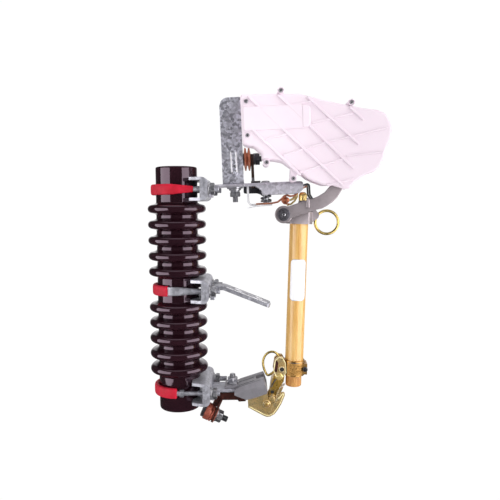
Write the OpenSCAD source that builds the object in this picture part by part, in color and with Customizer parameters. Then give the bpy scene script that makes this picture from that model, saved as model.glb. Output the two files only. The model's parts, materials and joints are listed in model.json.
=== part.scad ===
// Dropout fuse cutout, load-break type with an arc chute.
// Built upright: the insulator is vertical, the fuse tube stands at +X, the arc chute lies towards -Y.
// The origin is on the top flat face of the mounting strap, midway between its two bolt holes.

/* [Insulator] */
// Height of the porcelain
ins_h = 347.5; // [340:0.5:356]
// Diameter of the plain core
core_d = 59; // [57:0.5:60]
// Diameter over the sheds
shed_d = 83; // [78:0.5:84]
// Distance from one shed to the next
shed_pitch = 22.2; // [21.6:0.1:22.4]
// Roundness of a shed, its edge radius
shed_r = 8.2; // [6.5:0.1:8.6]

/* [Clamps] */
// Height of the top clamp above the foot
top_z = 315.5; // [312:0.5:318]
// Height of the middle clamp above the foot
mid_z = 174.5; // [173.5:0.5:175.5]
// Height of the bottom clamp above the foot
bot_z = 30; // [28:0.5:31]
// Width of the flat band
band_w = 12; // [9:0.5:13]
// Width of the red sleeve
sleeve_w = 14.8; // [14:0.1:16]
// Diameter of the threaded band ends
rod_d = 8; // [6:0.5:8.5]
// Plate thickness of a saddle
saddle_t = 4; // [3:0.5:4]

/* [Mounting strap] */
// Width of the strap
strap_w = 30; // [26:1:34]
// Thickness of the strap
strap_t = 6; // [5:0.5:7]
// Downward slope of the strap in degrees
strap_slope = 22; // [15:1:26]
// Length of the sloping part
strap_len = 71; // [66:1:78]
// Diameter of the two bolt holes
strap_hole_d = 10; // [8:0.5:12]
// Distance between the two bolt holes
strap_hole_pitch = 32; // [28:1:36]

/* [Top bracket] */
// Backward lean of the bracket in degrees
bracket_lean = 2; // [1.5:0.5:2.5]
// Half width of the channel
channel_half = 14; // [12:0.5:14]
// Sheet thickness of the channel and plate
sheet_t = 4; // [3:0.5:4]
// Height of the upright plate
plate_h = 121.5; // [100:0.5:125]
// Width of the upright plate
plate_w = 30; // [26:0.5:31]

/* [Arc chute] */
// Centre plane of chute and lever, towards -Y
chute_y = 23; // [22.5:0.5:25]
// Outside thickness of the closed chute
chute_t = 34; // [32:1:36]
// Wall thickness of the chute
chute_wall = 2.6; // [2:0.1:3]

/* [Fuse holder] */
// Diameter of the fuse tube
tube_d = 26.4; // [24:0.2:27]
// Lean of the fuse tube in degrees
tube_lean = 2.1; // [1.5:0.1:2.5]
// Bore of the fuse tube
tube_bore = 12.8; // [10:0.2:16]
// Diameter of the trunnion pin
trunnion_d = 9.6; // [8:0.1:9.8]
// Outer diameter of the pull ring
pull_ring_d = 37; // [32:0.5:38]
// Wire of the pull ring
pull_wire = 4; // [3:0.5:4.5]

/* [Load-break lever] */
// Thickness of the lever
blade_t = 6; // [4:0.5:7]
// Diameter of the hub
hub_d = 24.4; // [20:0.2:25]

/* [Hidden] */
$fn = 64;

core_r = core_d / 2;
saddle_x = 43;                 // inner face of a saddle's back plate
face_x = saddle_x + saddle_t;  // outer face, where brackets seat
rod_y = 33.5;                  // the band's two ends lie at +-rod_y
root_z = mid_z + 1.5;          // middle of the strap's thickness
bend_x = 66;                   // where the strap bends
hole_mid = 37;                 // middle of the hole pair along the sloping part
// the origin, in the insulator's own frame
ox = bend_x + hole_mid * cos(strap_slope) + strap_t / 2 * sin(strap_slope);
oz = root_z - hole_mid * sin(strap_slope) + strap_t / 2 * cos(strap_slope);
// trunnion pin, toggle pin and lever hub, in the insulator's frame
p1 = [134, 15];
p2 = [148.3, 57];
hub = [151, 279.6];
flange_drop = 16.5;            // how far the channel's flanges reach down

module place() { translate([-ox, 0, -oz]) children(); }
// the leaning frame of the top bracket
module top_frame() { translate([55, 0, 321.5]) rotate([0, -bracket_lean, 0]) children(); }
// the leaning frame of the fuse tube, z along the tube
module tube_frame() { translate([167.3, 0, 76.2]) rotate([0, tube_lean, 0]) children(); }
// a flat plate in the XZ plane from y0 to y1
module plate_y(pts, y0, y1) {
  translate([0, y1, 0]) rotate([90, 0, 0]) linear_extrude(y1 - y0) polygon(pts);
}
// a shaft along Y
module shaft_y(p, d, y0, y1, n = 64) {
  translate([p[0], y1, p[1]]) rotate([90, 0, 0]) cylinder(d = d, h = y1 - y0, $fn = n);
}
// a shaft along X
module shaft_x(x0, x1, y, z, d, n = 64) {
  translate([x0, y, z]) rotate([0, 90, 0]) cylinder(d = d, h = x1 - x0, $fn = n);
}
// a bar between two points of the XZ plane
module bar_xz(a, b, w, y0, y1) {
  l = norm([b[0] - a[0], b[1] - a[1]]);
  translate([a[0], 0, a[1]]) rotate([0, -atan2(b[1] - a[1], b[0] - a[0]), 0])
    translate([0, y0, -w / 2]) cube([l, y1 - y0, w]);
}
// a round wire between two points of the XZ plane
module wire_xz(a, b, d, y = 0) {
  l = norm([b[0] - a[0], b[1] - a[1]]);
  translate([a[0], y, a[1]]) rotate([0, 90 - atan2(b[1] - a[1], b[0] - a[0]), 0]) cylinder(d = d, h = l, $fn = 24);
}

function unit(v) = v / norm(v);
// a sheet of thickness t bent along a path, as an outline in the XZ plane
function ribbon(p, t) = let (n = len(p), off = [for (i = [0:n - 1]) let (u = i > 0 ? unit(p[i] - p[i - 1]) : unit(p[1] - p[0]),
  v = i < n - 1 ? unit(p[i + 1] - p[i]) : u) [-u[1] - v[1], u[0] + v[0]] / (1 + u * v)])
  concat([for (i = [0:n - 1]) p[i] + off[i] * t / 2], [for (i = [n - 1:-1:0]) p[i] - off[i] * t / 2]);
module sheet_xz(path, t, y0, y1) { plate_y(ribbon(path, t), y0, y1); }

// ---- insulator ----
shed_zs = concat([for (i = [0:4]) ins_h - 58.8 - i * shed_pitch],
                 [for (i = [0:4]) 148.8 - i * shed_pitch]);
module insulator() color([0.16, 0.07, 0.08]) {
  cylinder(r1 = core_r - 3, r2 = core_r, h = 3);
  translate([0, 0, 3]) cylinder(r = core_r, h = ins_h - 5);
  translate([0, 0, ins_h - 2]) cylinder(r1 = core_r, r2 = core_r - 2, h = 2);
  for (z = shed_zs) translate([0, 0, z]) rotate_extrude() translate([shed_d / 2 - shed_r, 0]) circle(r = shed_r, $fn = 48);
}

// ---- band clamps: [height, where the flat part ends, rod diameter of the drawn-down part, sleeve end] ----
clamps = [[top_z, 24, rod_d, 27], [mid_z, 26, rod_d, -8], [bot_z, 4, 5.5, 0]];
module half_ring(r0, r1, h) {
  difference() {
    translate([0, 0, -h / 2]) cylinder(r = r1, h = h);
    translate([0, 0, -h]) cylinder(r = r0, h = 2 * h);
    translate([0, -60, -h]) cube([60, 120, 2 * h]);
  }
}
module band_shape(c, grow = 0) {
  translate([0, 0, c[0]]) {
    half_ring(31.8 - grow, 34.8 + grow, band_w + 2 * grow);
    for (s = [-1, 1]) translate([0, s * 33.3 - 1.5 - grow, -band_w / 2 - grow]) cube([c[1], 3 + 2 * grow, band_w + 2 * grow]);
  }
}
module clamp_bands() color([0.62, 0.64, 0.67]) for (c = clamps) {
  band_shape(c);
  for (s = [-1, 1]) {
    shaft_x(c[1] - 1, 30, s * rod_y, c[0], c[2], 32);
    shaft_x(28, c[0] > 60 ? 62 : s > 0 ? 67 : 60, s * rod_y, c[0], rod_d, 32);
  }
}
module sleeve_shape(c) {
  difference() {
    translate([0, 0, c[0]]) difference() {
      union() {
        half_ring(29.8, 37, sleeve_w);
        if (c[3] > 0) for (s = [-1, 1]) translate([0, s * 33.4 - 3.6, -sleeve_w / 2]) cube([c[3], 7.2, sleeve_w]);
      }
      if (c[3] < 0) translate([c[3], -60, -20]) cube([40, 120, 40]);
    }
    band_shape(c, 0.02);
    for (s = [-1, 1]) shaft_x(c[1] - 1, 40, s * rod_y, c[0], c[2] + 0.04, 32);
  }
}
module band_sleeves() color([0.86, 0.1, 0.24]) for (c = clamps) sleeve_shape(c);

// a saddle is a strip pressed to a C with round bends, its two flanges cut out to cradle the porcelain
module saddle(z) color([0.64, 0.66, 0.69]) translate([0, 0, z]) difference() {
  union() {
   intersection() {
    sheet_xz([[10, 16 - saddle_t / 2], [saddle_x - 3.6, 16 - saddle_t / 2], [saddle_x - 0.4, 13.1 - saddle_t / 4], [saddle_x + saddle_t / 2 - 0.6, 10.9], [saddle_x + saddle_t / 2, 7.8],
              [saddle_x + saddle_t / 2, -7.8], [saddle_x + saddle_t / 2 - 0.6, -10.9], [saddle_x - 0.4, saddle_t / 4 - 13.1], [saddle_x - 3.6, saddle_t / 2 - 16], [10, saddle_t / 2 - 16]],
             saddle_t, -44, 44);
    translate([0, 0, -20]) linear_extrude(40) polygon([[60, -44], [60, 44], [36, 44], [20, 37], [20, -37], [36, -44]]);
   }
   // its two ends are closed by small cheeks
   for (s = [-1, 1]) plate_y([[36.5, 14], [39.4, 14], [42.6, 12.1], [44.4, 10.9], [45, 7.8], [45, -7.8], [44.4, -10.9], [42.6, -12.1], [39.4, -14], [36.5, -14]],
                             s > 0 ? 41 : -43.9, s > 0 ? 43.9 : -41);
  }
  translate([0, 0, -30]) cylinder(r = core_r + 0.3, h = 60);
  // clear the band, its sleeve and the bolt ends
  for (s = [-1, 1]) shaft_x(30, 60, s * rod_y, 0, rod_d + 1, 32);
}
module top_saddle() saddle(top_z);
module middle_saddle() saddle(mid_z);
module bottom_saddle() saddle(bot_z);

module nut(af, h, bore) {
  difference() {
    cylinder(d = af / cos(30), h = h, $fn = 6);
    translate([0, 0, -1]) cylinder(d = bore, h = h + 2, $fn = 32);
  }
}
module clamp_nuts() color([0.58, 0.6, 0.63]) for (c = clamps, s = [-1, 1])
  translate([face_x, s * rod_y, c[0]]) rotate([0, 90, 0]) {
    difference() { cylinder(d = 18, h = 1.6, $fn = 48); translate([0, 0, -1]) cylinder(d = rod_d + 0.1, h = 4, $fn = 32); }
    translate([0, 0, 1.6]) nut(14.5, 7.4, rod_d + 0.1);
  }

// ---- mounting strap ----
module strap_slope_frame() { translate([bend_x, 0, root_z]) rotate([0, strap_slope, 0]) children(); }
module mounting_strap() color([0.64, 0.66, 0.69]) difference() {
  union() {
    sheet_xz([[face_x, root_z], [bend_x, root_z], [bend_x + strap_len * cos(strap_slope), root_z - strap_len * sin(strap_slope)]],
             strap_t, -strap_w / 2, strap_w / 2);
    translate([face_x, -strap_w / 2, root_z - 17]) cube([5, strap_w, 16]);
  }
  strap_slope_frame() for (s = [-1, 1]) translate([hole_mid + s * strap_hole_pitch / 2, 0, -10]) cylinder(d = strap_hole_d, h = 20);
}

// ---- top bracket ----
module top_channel() color([0.5, 0.52, 0.56]) top_frame() difference() {
  union() {
    translate([-7.9, -channel_half, 0.5 - sheet_t]) cube([128, 2 * channel_half, sheet_t]);
    translate([-7.9, -channel_half, -17]) cube([sheet_t, 2 * channel_half, 17.5]);
    for (s = [-1, 1]) plate_y([[45, 0.5], [45, -4], [66, -flange_drop], [117, -flange_drop], [122, -14], [124, -9], [124, -3], [121, 0.5]],
                              s > 0 ? channel_half - 3 : -channel_half, s > 0 ? channel_half : -channel_half + 3);
  }
  translate([27.7, 11 - 3, -8]) cylinder(d = 9, h = 20, $fn = 32);
  translate([71.6, 0, -8]) cylinder(d = 8.2, h = 20, $fn = 32);
  translate([54.3, 0, -8]) cylinder(d = 6.1, h = 20, $fn = 32);
}
plate_x = 11.2;
plate_y0 = -(chute_y - chute_t / 2) + 0.5;    // front face of the upright plate
module chute_plate() color([0.6, 0.6, 0.66]) top_frame() difference() {
  union() {
    plate_y([[plate_x, 0.5], [plate_x, plate_h - 17], [plate_x + 1.3, plate_h - 10.5], [plate_x + 5, plate_h - 5], [plate_x + 10.5, plate_h - 1.3],
             [plate_x + 17, plate_h], [plate_x + plate_w, plate_h], [plate_x + plate_w, 0.5]], plate_y0, plate_y0 + sheet_t);
    translate([plate_x, plate_y0, 0.5]) cube([plate_w, 24, sheet_t]);
    // pressed rib
    for (z = [16, 46]) shaft_y([28.2, z], 7, plate_y0 - 2, plate_y0 + 1, 32);
    translate([24.7, plate_y0 - 2, 16]) cube([7, 3, 30]);
  }
  translate([27.7, 8, -2]) cylinder(d = 9, h = 20, $fn = 32);
}
module plate_bolt() color([0.55, 0.57, 0.6]) top_frame() translate([27.7, 8, 0]) {
  translate([0, 0, -25]) cylinder(d = 8, h = 34, $fn = 32);
  translate([0, 0, 0.5 + sheet_t]) cylinder(d = 16, h = 4, $fn = 32);
  translate([0, 0, 0.5 - sheet_t - 4.5]) difference() { cylinder(d = 17.5, h = 4.5, $fn = 48); translate([0, 0, -1]) cylinder(d = 8.02, h = 8, $fn = 32); }
  translate([0, 0, 0.5 - sheet_t - 11.5]) nut(13, 7, 8.02);
}

// ---- arc chute: the outline in the bracket's frame, from the mouth round the top to the right end ----
chute_pts = [[41, 118.3], [91, 116.8], [122, 115.4], [138, 110.7], [156, 105.2], [183, 98.3], [205, 93.2], [225.5, 90], [236, 84.6], [240.8, 76],
  [243.6, 67.5], [243.6, 59.5], [240.8, 48], [234.8, 34.5], [232, 24.5], [226, 13.2], [217, 6.6], [206, 3.4], [199, -0.3], [191.5, -6.4], [183.5, -14.2], [176.5, -14.2],
  [158, -8], [149, -8], [134, -2], [127, 2], [120, 8], [107, 17], [95, 26], [83, 29], [67, 30], [67, 38], [61, 44], [57, 48], [47, 50], [42, 53]];
chute_open = [13, 26];   // the wall is left out between these corners, where the lever passes
screw_pts = [[96, 120.4], [190, 100.8], [49, 108], [49, 63], [73, 26], [108.5, 2.8]];
// where a screw ends: the last one sits in a short ear beside the channel
function screw_end(i) = i == 5 ? -15.5 : cy1 - 0.3;
rib_diag = [[[53, 113], [174, -8]], [[93, 113.6], [189, 14]], [[132, 109.6], [197, 46]], [[188, 94], [204, 78]], [[57, 69], [117, 8]]];
rib_cross = [[[104, 99], [138, 105]], [[137, 76], [190, 86]], [[156, 50], [236, 65]], [[69, 56], [104, 63]],
  [[97, 35], [155, 50]], [[118, 11], [178, 27]], [[155, -8], [189, -1]], [[182, 30], [229, 33]]];
cy0 = -chute_y - chute_t / 2;
cy1 = -chute_y + chute_t / 2;
// the inner outline: one wall thickness inside, and outside the open stretch so that no wall is left there
function inner_pt(p, i) = let (n = len(p), a = p[(i + n - 1) % n], b = p[i], c = p[(i + 1) % n],
  u = unit(b - a), v = unit(c - b), m = [u[1] + v[1], -u[0] - v[0]], k = 1 + u[0] * v[0] + u[1] * v[1],
  d = i > chute_open[0] && i <= chute_open[1] ? -4 : chute_wall) b + m * d / k;
chute_inner = [for (i = [0:len(chute_pts) - 1]) inner_pt(chute_pts, i)];
// the corners from the top edge round the bulb are drawn out into curves
function soft_pt(p, i, t) = let (a = p[i - 1], b = p[i], c = p[i + 1],
  q = b + unit(a - b) * min(8, 0.42 * norm(a - b)), r = b + unit(c - b) * min(8, 0.42 * norm(c - b))) (1 - t) * (1 - t) * q + 2 * t * (1 - t) * b + t * t * r;
function soft(p) = concat([for (i = [0:3]) p[i]], [for (i = [4:12], t = [0:0.5:1]) soft_pt(p, i, t)], [for (i = [13:len(p) - 1]) p[i]]);
module chute_half(front) {
  difference() {
    union() {
      difference() {
        plate_y(soft(chute_pts), front ? cy0 : -chute_y, front ? -chute_y : cy1);
        plate_y(soft(chute_inner), front ? cy0 + chute_wall : -chute_y - 1, front ? -chute_y + 1 : cy1 - chute_wall);
      }
      for (i = [0:5]) shaft_y(screw_pts[i], 9, front ? cy0 + 0.3 : -chute_y, front ? -chute_y : screw_end(i), 32);
      plate_y([[104.4, 5.6], [112.6, 5.2], [114.5, 13.8], [106.1, 19.4]], front ? cy0 + 1.2 : -chute_y, front ? -chute_y : -16.4);
      if (front) {
        for (r = rib_diag) bar_xz(r[0], r[1], 2.6, cy0 - 2.6, cy0 + 0.5);
        for (r = rib_cross) bar_xz(r[0], r[1], 2, cy0 - 1.9, cy0 + 0.5);
        plate_y([[44, 69], [129, 69], [134, 72], [134, 98], [129, 101], [44, 101]], cy0 - 3.4, cy0 + 0.5);
      } else {
        for (r = rib_diag) if (r[0][0] > 80) bar_xz(r[0], r[1], 2.2, cy1 - 0.5, cy1 + 2);
      }
    }
    for (i = [0:5]) {
      shaft_y(screw_pts[i], 4, -60, 20, 24);
      shaft_y(screw_pts[i], 7, cy0 - 8, cy0 + 0.6, 32);
      shaft_y(screw_pts[i], 7, screw_end(i) - 0.3, cy1 + 8, 32);
    }
  }
}
module chute_front() color([0.95, 0.91, 0.94]) top_frame() chute_half(true);
module chute_back() color([0.95, 0.91, 0.94]) top_frame() difference() {
  chute_half(false);
  // bears on the upright plate, so its ribs stop there
  translate([-20, plate_y0 - 0.01, -20]) cube([plate_x + plate_w + 22, 20, 200]);
}
module chute_screws() color([0.35, 0.35, 0.37]) top_frame() for (i = [0:5]) {
  shaft_y(screw_pts[i], 3.96, cy0, screw_end(i) + 1, 24);
  shaft_y(screw_pts[i], 6.6, cy0 - 2, cy0 + 0.58, 32);
  shaft_y(screw_pts[i], 6.6, screw_end(i) - 0.28, screw_end(i) + 1.2, 24);
}

// ---- top terminal: a pad on the channel, two copper jaws, bolt and nut along X ----
tt_y = 13;
module top_terminal_pad() color([0.3, 0.25, 0.22]) top_frame() difference() {
  union() {
    translate([52.3, 3, 0.5]) cube([4, 18, 42]);
    translate([52.3, 3, 0.5]) cube([12.4, 10, 3.5]);
    translate([54.3, 0, -6]) cylinder(d = 6, h = 10, $fn = 32);
    translate([52.3, -3, 0.5]) cube([4, 10, 8]);
  }
  shaft_x(40, 70, tt_y, 36, 9, 32);
}
module jaw(x0, x1, y, z, d, groove) {
  difference() {
    shaft_x(x0, x1, y, z, d, 48);
    shaft_x(x0 - 1, x1 + 1, y, z, 9, 32);
    for (s = [-1, 1]) translate([groove, y + s * 10, z]) rotate([0, 0, 0]) cylinder(d = 7, h = 60, center = true, $fn = 32);
  }
}
module top_terminal_jaws() color([0.72, 0.3, 0.18]) top_frame() {
  jaw(42.2, 46.6, tt_y, 36, 33, 47.1);
  jaw(47.6, 52.3, tt_y, 36, 33, 47.1);
}
module top_terminal_bolt() color([0.12, 0.12, 0.13]) top_frame() {
  shaft_x(38, 68, tt_y, 36, 8.9, 32);
  translate([37.2, tt_y, 36]) rotate([0, 90, 0]) cylinder(d = 19, h = 5, $fn = 6);
  translate([56.3, tt_y, 36]) rotate([0, 90, 0]) difference() { cylinder(d = 18.8, h = 8, $fn = 6); translate([0, 0, -1]) cylinder(d = 8.9, h = 12, $fn = 32); }
}

// ---- upper contact ----
module contact_bolt() color([0.5, 0.5, 0.52]) top_frame() {
  translate([71.6, 0, 0.5]) cylinder(d1 = 13, d2 = 9, h = 3, $fn = 48);
  translate([71.6, 0, -31]) cylinder(d = 8.16, h = 32, $fn = 32);
}
strip_w = 14;
module contact_strip() color([0.72, 0.38, 0.22]) top_frame() difference() {
  union() {
    sheet_xz([[44, -34], [57, -28.6], [80, -28.2], [90, -26.2], [96.8, -19.2], [104, -17.4], [123.2, -11.3], [130.5, -6.8]], 1.6, -strip_w / 2, strip_w / 2);
    shaft_y([99.7, -25], 8, -5, 5, 32);
    translate([98, -4, -24]) cube([3.4, 8, 6]);
  }
  translate([71.6, 0, -40]) cylinder(d = 8.3, h = 20, $fn = 32);
  // its tail straddles the backing spring
  translate([40, -4.6, -40]) cube([17.6, 9.2, 16]);
}
module contact_spring() color([0.45, 0.45, 0.47]) top_frame() {
  for (z = [-25.4:3.6:-6]) translate([71.6, 0, z]) rotate_extrude($fn = 48) translate([6.4, 0]) circle(d = 2.4, $fn = 16);
}
module backing_spring() color([0.8, 0.8, 0.82]) top_frame() difference() {
  union() {
    sheet_xz([[46, -3.6], [46, -25], [49, -30.2], [53, -30.6], [60, -30.5]], 1.5, -4, 4);
    sheet_xz([[59, -30.51], [80, -30.2]], 1.5, -6, 6);
  }
  translate([71.6, 0, -40]) cylinder(d = 8.3, h = 20, $fn = 32);
}
module contact_guide() color([0.3, 0.3, 0.32]) top_frame() for (s = [-1, 1]) {
  y0 = s > 0 ? 12 : -14;
  sheet_xz([[124.5, -5.4], [130, -4], [132.4, -6], [132.8, -19], [136.4, -25.4]], 2.6, y0, y0 + 2);
}

// ---- hinge end ----
module hinge_bar() color([0.5, 0.52, 0.55]) difference() {
  union() {
    translate([face_x, -18, 26]) cube([50, 36, 4]);
    translate([face_x, -18, 14]) cube([4, 36, 16]);
  }
  translate([77, 0, 20]) cylinder(d = 8.4, h = 20, $fn = 32);
}
module hinge_support() color([0.55, 0.56, 0.6]) difference() {
  union() {
    plate_y([[80, 24], [80, 30.5], [89, 35], [122, 45.5], [127.2, 30], [126.6, 26.2], [110, 20.3], [97, 17]], -26, 26);
    translate([66, -15, 30]) cube([22, 30, 4]);
  }
  translate([60, -18.05, 25.95]) cube([37.05, 36.1, 4.1]);
  translate([77, 0, 20]) cylinder(d = 8.4, h = 30, $fn = 32);
  translate([77, 0, 16]) cylinder(d = 15.4, h = 10, $fn = 48);
  // slot for the lifting ring
  translate([111, -7, 34]) cube([20, 14, 30]);
  // its long top edges slope away
  for (s = [-1, 1]) translate([76, 0, 30.87]) rotate([0, -17.65, 0]) rotate([90, 0, 90]) linear_extrude(56) polygon([[s * 19, 0.2], [s * 27, 0.2], [s * 27, -6.9]]);
}
module support_bolt() color([0.62, 0.62, 0.64]) {
  translate([77, 0, 22]) cylinder(d = 8.36, h = 26, $fn = 32);
  translate([77, 0, 34]) difference() { cylinder(d = 17, h = 1.6, $fn = 48); translate([0, 0, -1]) cylinder(d = 8.38, h = 4, $fn = 32); }
  translate([77, 0, 35.6]) nut(14, 7.4, 8.38);
  translate([77, 0, 22]) cylinder(d = 15, h = 4, $fn = 48);
}
module hook_plates() color([0.72, 0.6, 0.3]) for (s = [-1, 1]) {
  y0 = s > 0 ? 16.5 : -20;
  difference() {
    plate_y([[99, 17.3], [99, 14], [99.5, 4], [121, -8], [126, -10], [131, -9.5], [137, -6], [141, -1], [147, 9], [152, 21], [152, 24.5], [150, 26],
      [147, 25], [141, 17.5], [138.9, 12.6], [134, 10.02], [129, 12.6], [127.6, 18.5], [126.2, 25.98], [110, 20.22]], y0, y0 + 3.5);
    shaft_y(p1, trunnion_d + 0.2, -30, 30, 48);
    shaft_y([125.8, 9.2], 6, -30, 30, 32);
  }
}
module hook_rivet() color([0.78, 0.68, 0.4]) {
  for (s = [-1, 1]) {
    shaft_y([125.8, 9.2], 5.96, s > 0 ? 15 : -22.5, s > 0 ? 22.5 : -15, 32);
    shaft_y([125.8, 9.2], 11, s > 0 ? 20 : -23, s > 0 ? 23 : -20, 32);
    shaft_y([125.8, 9.2], 9, s > 0 ? 14.5 : -16.5, s > 0 ? 16.5 : -14.5, 32);
  }
}
module terminal_bar() color([0.3, 0.14, 0.1]) {
  plate_y([[51.2, 21.9], [84.8, 21.9], [96, 17.3], [96, 9], [86, 8.4], [84, 11], [51.2, 11]], -8, 8);
  // the lug turned down to the connector
  difference() {
    intersection() {
      bt_frame() translate([4.65, -12.5, -11]) cube([2.25, 15.5, 38]);
      bt_frame() union() { shaft_x(0, 20, 0, 0, 25.4, 48); translate([0, -30, 0]) cube([20, 60, 60]); }
    }
    bt_frame() shaft_x(0, 20, 0, 0, 9, 32);
    translate([40, -30, 21]) cube([40, 60, 20]);
  }
  // its thick neck over the connector
  bt_frame() translate([-3, -4, 12.6]) cube([9.8, 9, 11]);
}
bt = [45, -5, -8];
module bt_frame() { translate(bt) rotate([0, 25, 0]) children(); }
module bottom_terminal_jaws() color([0.72, 0.3, 0.18]) bt_frame() difference() {
  union() {
    shaft_x(-9, -0.2, 0, 0, 25, 48);
    shaft_x(0.2, 4.6, 0, 0, 25, 48);
    shaft_x(6.95, 7.95, 0, 0, 25, 48);
  }
  shaft_x(-20, 20, 0, 0, 9, 32);
  for (s = [-1, 1]) translate([0, s * 9, 0]) cylinder(d = 6, h = 60, center = true, $fn = 32);
}
module bottom_terminal_bolt() color([0.35, 0.35, 0.37]) bt_frame() {
  shaft_x(-10, 26, 0, 0, 8.9, 32);
  translate([-13.5, 0, 0]) rotate([0, 90, 0]) cylinder(d = 19, h = 4.5, $fn = 6);
  translate([8, 0, 0]) rotate([0, 90, 0]) { cylinder(d = 20, h = 2, $fn = 48); translate([0, 0, 2]) cylinder(d = 18.5, h = 8, $fn = 6); }
}

// ---- fuse holder ----
module fuse_tube() color([0.92, 0.72, 0.38]) tube_frame() difference() {
  translate([0, 0, -25]) cylinder(d = tube_d, h = 228);
  translate([0, 0, -30]) cylinder(d = 23.1, h = 30);
  translate([0, 0, -30]) cylinder(d = tube_bore, h = 226);
}
module tube_end() color([0.8, 0.45, 0.2]) tube_frame() difference() {
  translate([0, 0, -46]) cylinder(d = 23, h = 46);
  translate([0, 0, -60]) cylinder(d = tube_bore, h = 80);
}
module tube_label() color([0.97, 0.97, 0.98]) tube_frame() translate([0, 0, 81]) difference() {
  cylinder(d = tube_d + 0.7, h = 58);
  translate([0, 0, -1]) cylinder(d = tube_d, h = 60);
  translate([-40, -6.8, -1]) cube([80, 40, 60]);
}
uc_half = 15;
module upper_casting() color([0.6, 0.6, 0.62]) difference() {
  union() {
    intersection() {
      tube_frame() translate([0, 0, 190]) cylinder(d = 38, h = 17.5);
      translate([100, -uc_half, 200]) cube([200, 2 * uc_half, 200]);
    }
    // arm to the lever's hub, on the near side
    plate_y([[150, 270.5], [172, 268], [176, 283], [150, 288.6]], -uc_half + 0.6, -uc_half + 10);
    shaft_y(hub, 20, -uc_half, -uc_half + 11);
    // neck under the contact cap
    plate_y([[167, 281], [189, 281], [187.6, 290], [185.2, 299], [174.6, 299], [171, 290]], -7, 7);
    // lug of the pull ring
    plate_y([[188, 269], [193, 268], [201.5, 274], [203, 279], [197, 287], [187, 285]], -3.5, 3.5);
  }
  tube_frame() translate([0, 0, 180]) cylinder(d = tube_d + 0.04, h = 23.02);
  shaft_y(hub, 8, -40, 30, 48);
}
module contact_cap() color([0.85, 0.68, 0.3]) {
  translate([180, 0, 299]) cylinder(d = 12, h = 9);
  translate([180, 0, 308]) cylinder(d1 = 12, d2 = 7, h = 3);
}
module pull_ring() color([0.78, 0.62, 0.3]) translate([213.9, 0, 267.8]) rotate([90, 0, 0])
  rotate_extrude() translate([pull_ring_d / 2 - pull_wire / 2, 0]) circle(d = pull_wire, $fn = 24);

module lower_collar() color([0.75, 0.5, 0.22]) difference() {
  union() {
    tube_frame() translate([0, 0, -29.5]) cylinder(d = 30.4, h = 22);
    tube_frame() translate([9, -10.4, -27]) cube([9.4, 20.8, 15.4]);
    bar_xz([144, 59.5], [158, 58], 12, -5, 5);
    shaft_y(p2, 13, -5, 5, 48);
  }
  tube_frame() translate([0, 0, -34]) cylinder(d = 23.04, h = 9.04);
  tube_frame() translate([0, 0, -25]) cylinder(d = tube_d + 0.04, h = 30);
  tube_frame() shaft_y([15.4, -19], 4, -30, 30, 32);
  tube_frame() for (s = [-1, 1]) shaft_y([15.4, -19], 8.6, s > 0 ? 10.4 : -30, s > 0 ? 30 : -10.4, 32);
  tube_frame() translate([10, -1, -40]) cube([20, 2, 40]);
  shaft_y(p2, 5, -20, 20, 32);
  // between its two ears runs the lifting ring
  translate([130, -2.3, 40]) cube([18.4, 4.6, 40]);
}
module collar_bolt() color([0.2, 0.18, 0.17]) tube_frame() {
  shaft_y([15.4, -19], 3.96, -13, 12, 32);
  shaft_y([15.4, -19], 7, -13.8, -10.42, 32);
  shaft_y([15.4, -19], 8, 10.42, 13, 6);
}
module trunnion_link() color([0.82, 0.68, 0.32]) difference() {
  union() {
    shaft_y(p1, 12, -11, 11, 48);
    plate_y([[130, 18], [138, 14], [143.42, 27], [147.5, 33.5], [151, 38.5], [152.5, 48], [137.5, 48], [136, 46], [133.4, 40], [131.8, 30]], -10.8, 10.8);
    for (s = [-1, 1]) {
      y0 = s > 0 ? 5.2 : -11.2;
      plate_y([[139, 46], [151, 45], [155, 52], [154, 66], [150, 74], [144, 75], [138.5, 70], [136, 55]], y0, y0 + 6);
    }
  }
  shaft_y(p1, trunnion_d + 0.04, -30, 30, 48);
  shaft_y(p2, 5, -20, 20, 32);
  shaft_y([134.4, 23.4], 4.4, -20, 20, 32);
  // hollowed round the collar
  tube_frame() translate([0, 0, -50]) cylinder(r = 15.7, h = 60);
}
module trunnion_pin() color([0.8, 0.66, 0.34]) {
  shaft_y(p1, trunnion_d, -19.6, 19.6, 48);
  shaft_y(p2, 4.96, -12.4, 12.4, 32);
  for (s = [-1, 1]) shaft_y(p2, 8.6, s > 0 ? 11.22 : -12.8, s > 0 ? 12.8 : -11.22, 32);
}
// an egg-shaped wire eye: rings of points swept along a closed curve
egg_n = 40;
egg_s = 10;
function egg_pt(t) = let (a = 11.8 * cos(t) * (sin(t) < 0 ? 1 - 0.45 * pow(-sin(t), 2) : 1), b = sin(t) > 0 ? 14.5 * sin(t) : 21 * sin(t))
  [133.6 + a * cos(14) + b * sin(14), 65.5 - a * sin(14) + b * cos(14)];
module lifting_ring() color([0.75, 0.65, 0.4]) {
  pts = [for (i = [0:egg_n - 1]) let (t = i * 360 / egg_n, p = egg_pt(t), d = unit(egg_pt(t + 2) - egg_pt(t - 2)), m = [d[1], -d[0]])
    for (j = [0:egg_s - 1]) let (w = j * 360 / egg_s) [p[0] + 1.7 * cos(w) * m[0], 1.7 * sin(w), p[1] + 1.7 * cos(w) * m[1]]];
  polyhedron(pts, [for (i = [0:egg_n - 1], j = [0:egg_s - 1]) let (i2 = (i + 1) % egg_n, j2 = (j + 1) % egg_s)
    [i * egg_s + j, i * egg_s + j2, i2 * egg_s + j2, i2 * egg_s + j]], convexity = 6);
}
module flipper_strip() color([0.8, 0.8, 0.82]) sheet_xz([[140.3, 17.83], [143.6, 25.75], [153.3, 31.6]], 1.2, -4, 4);

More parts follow.
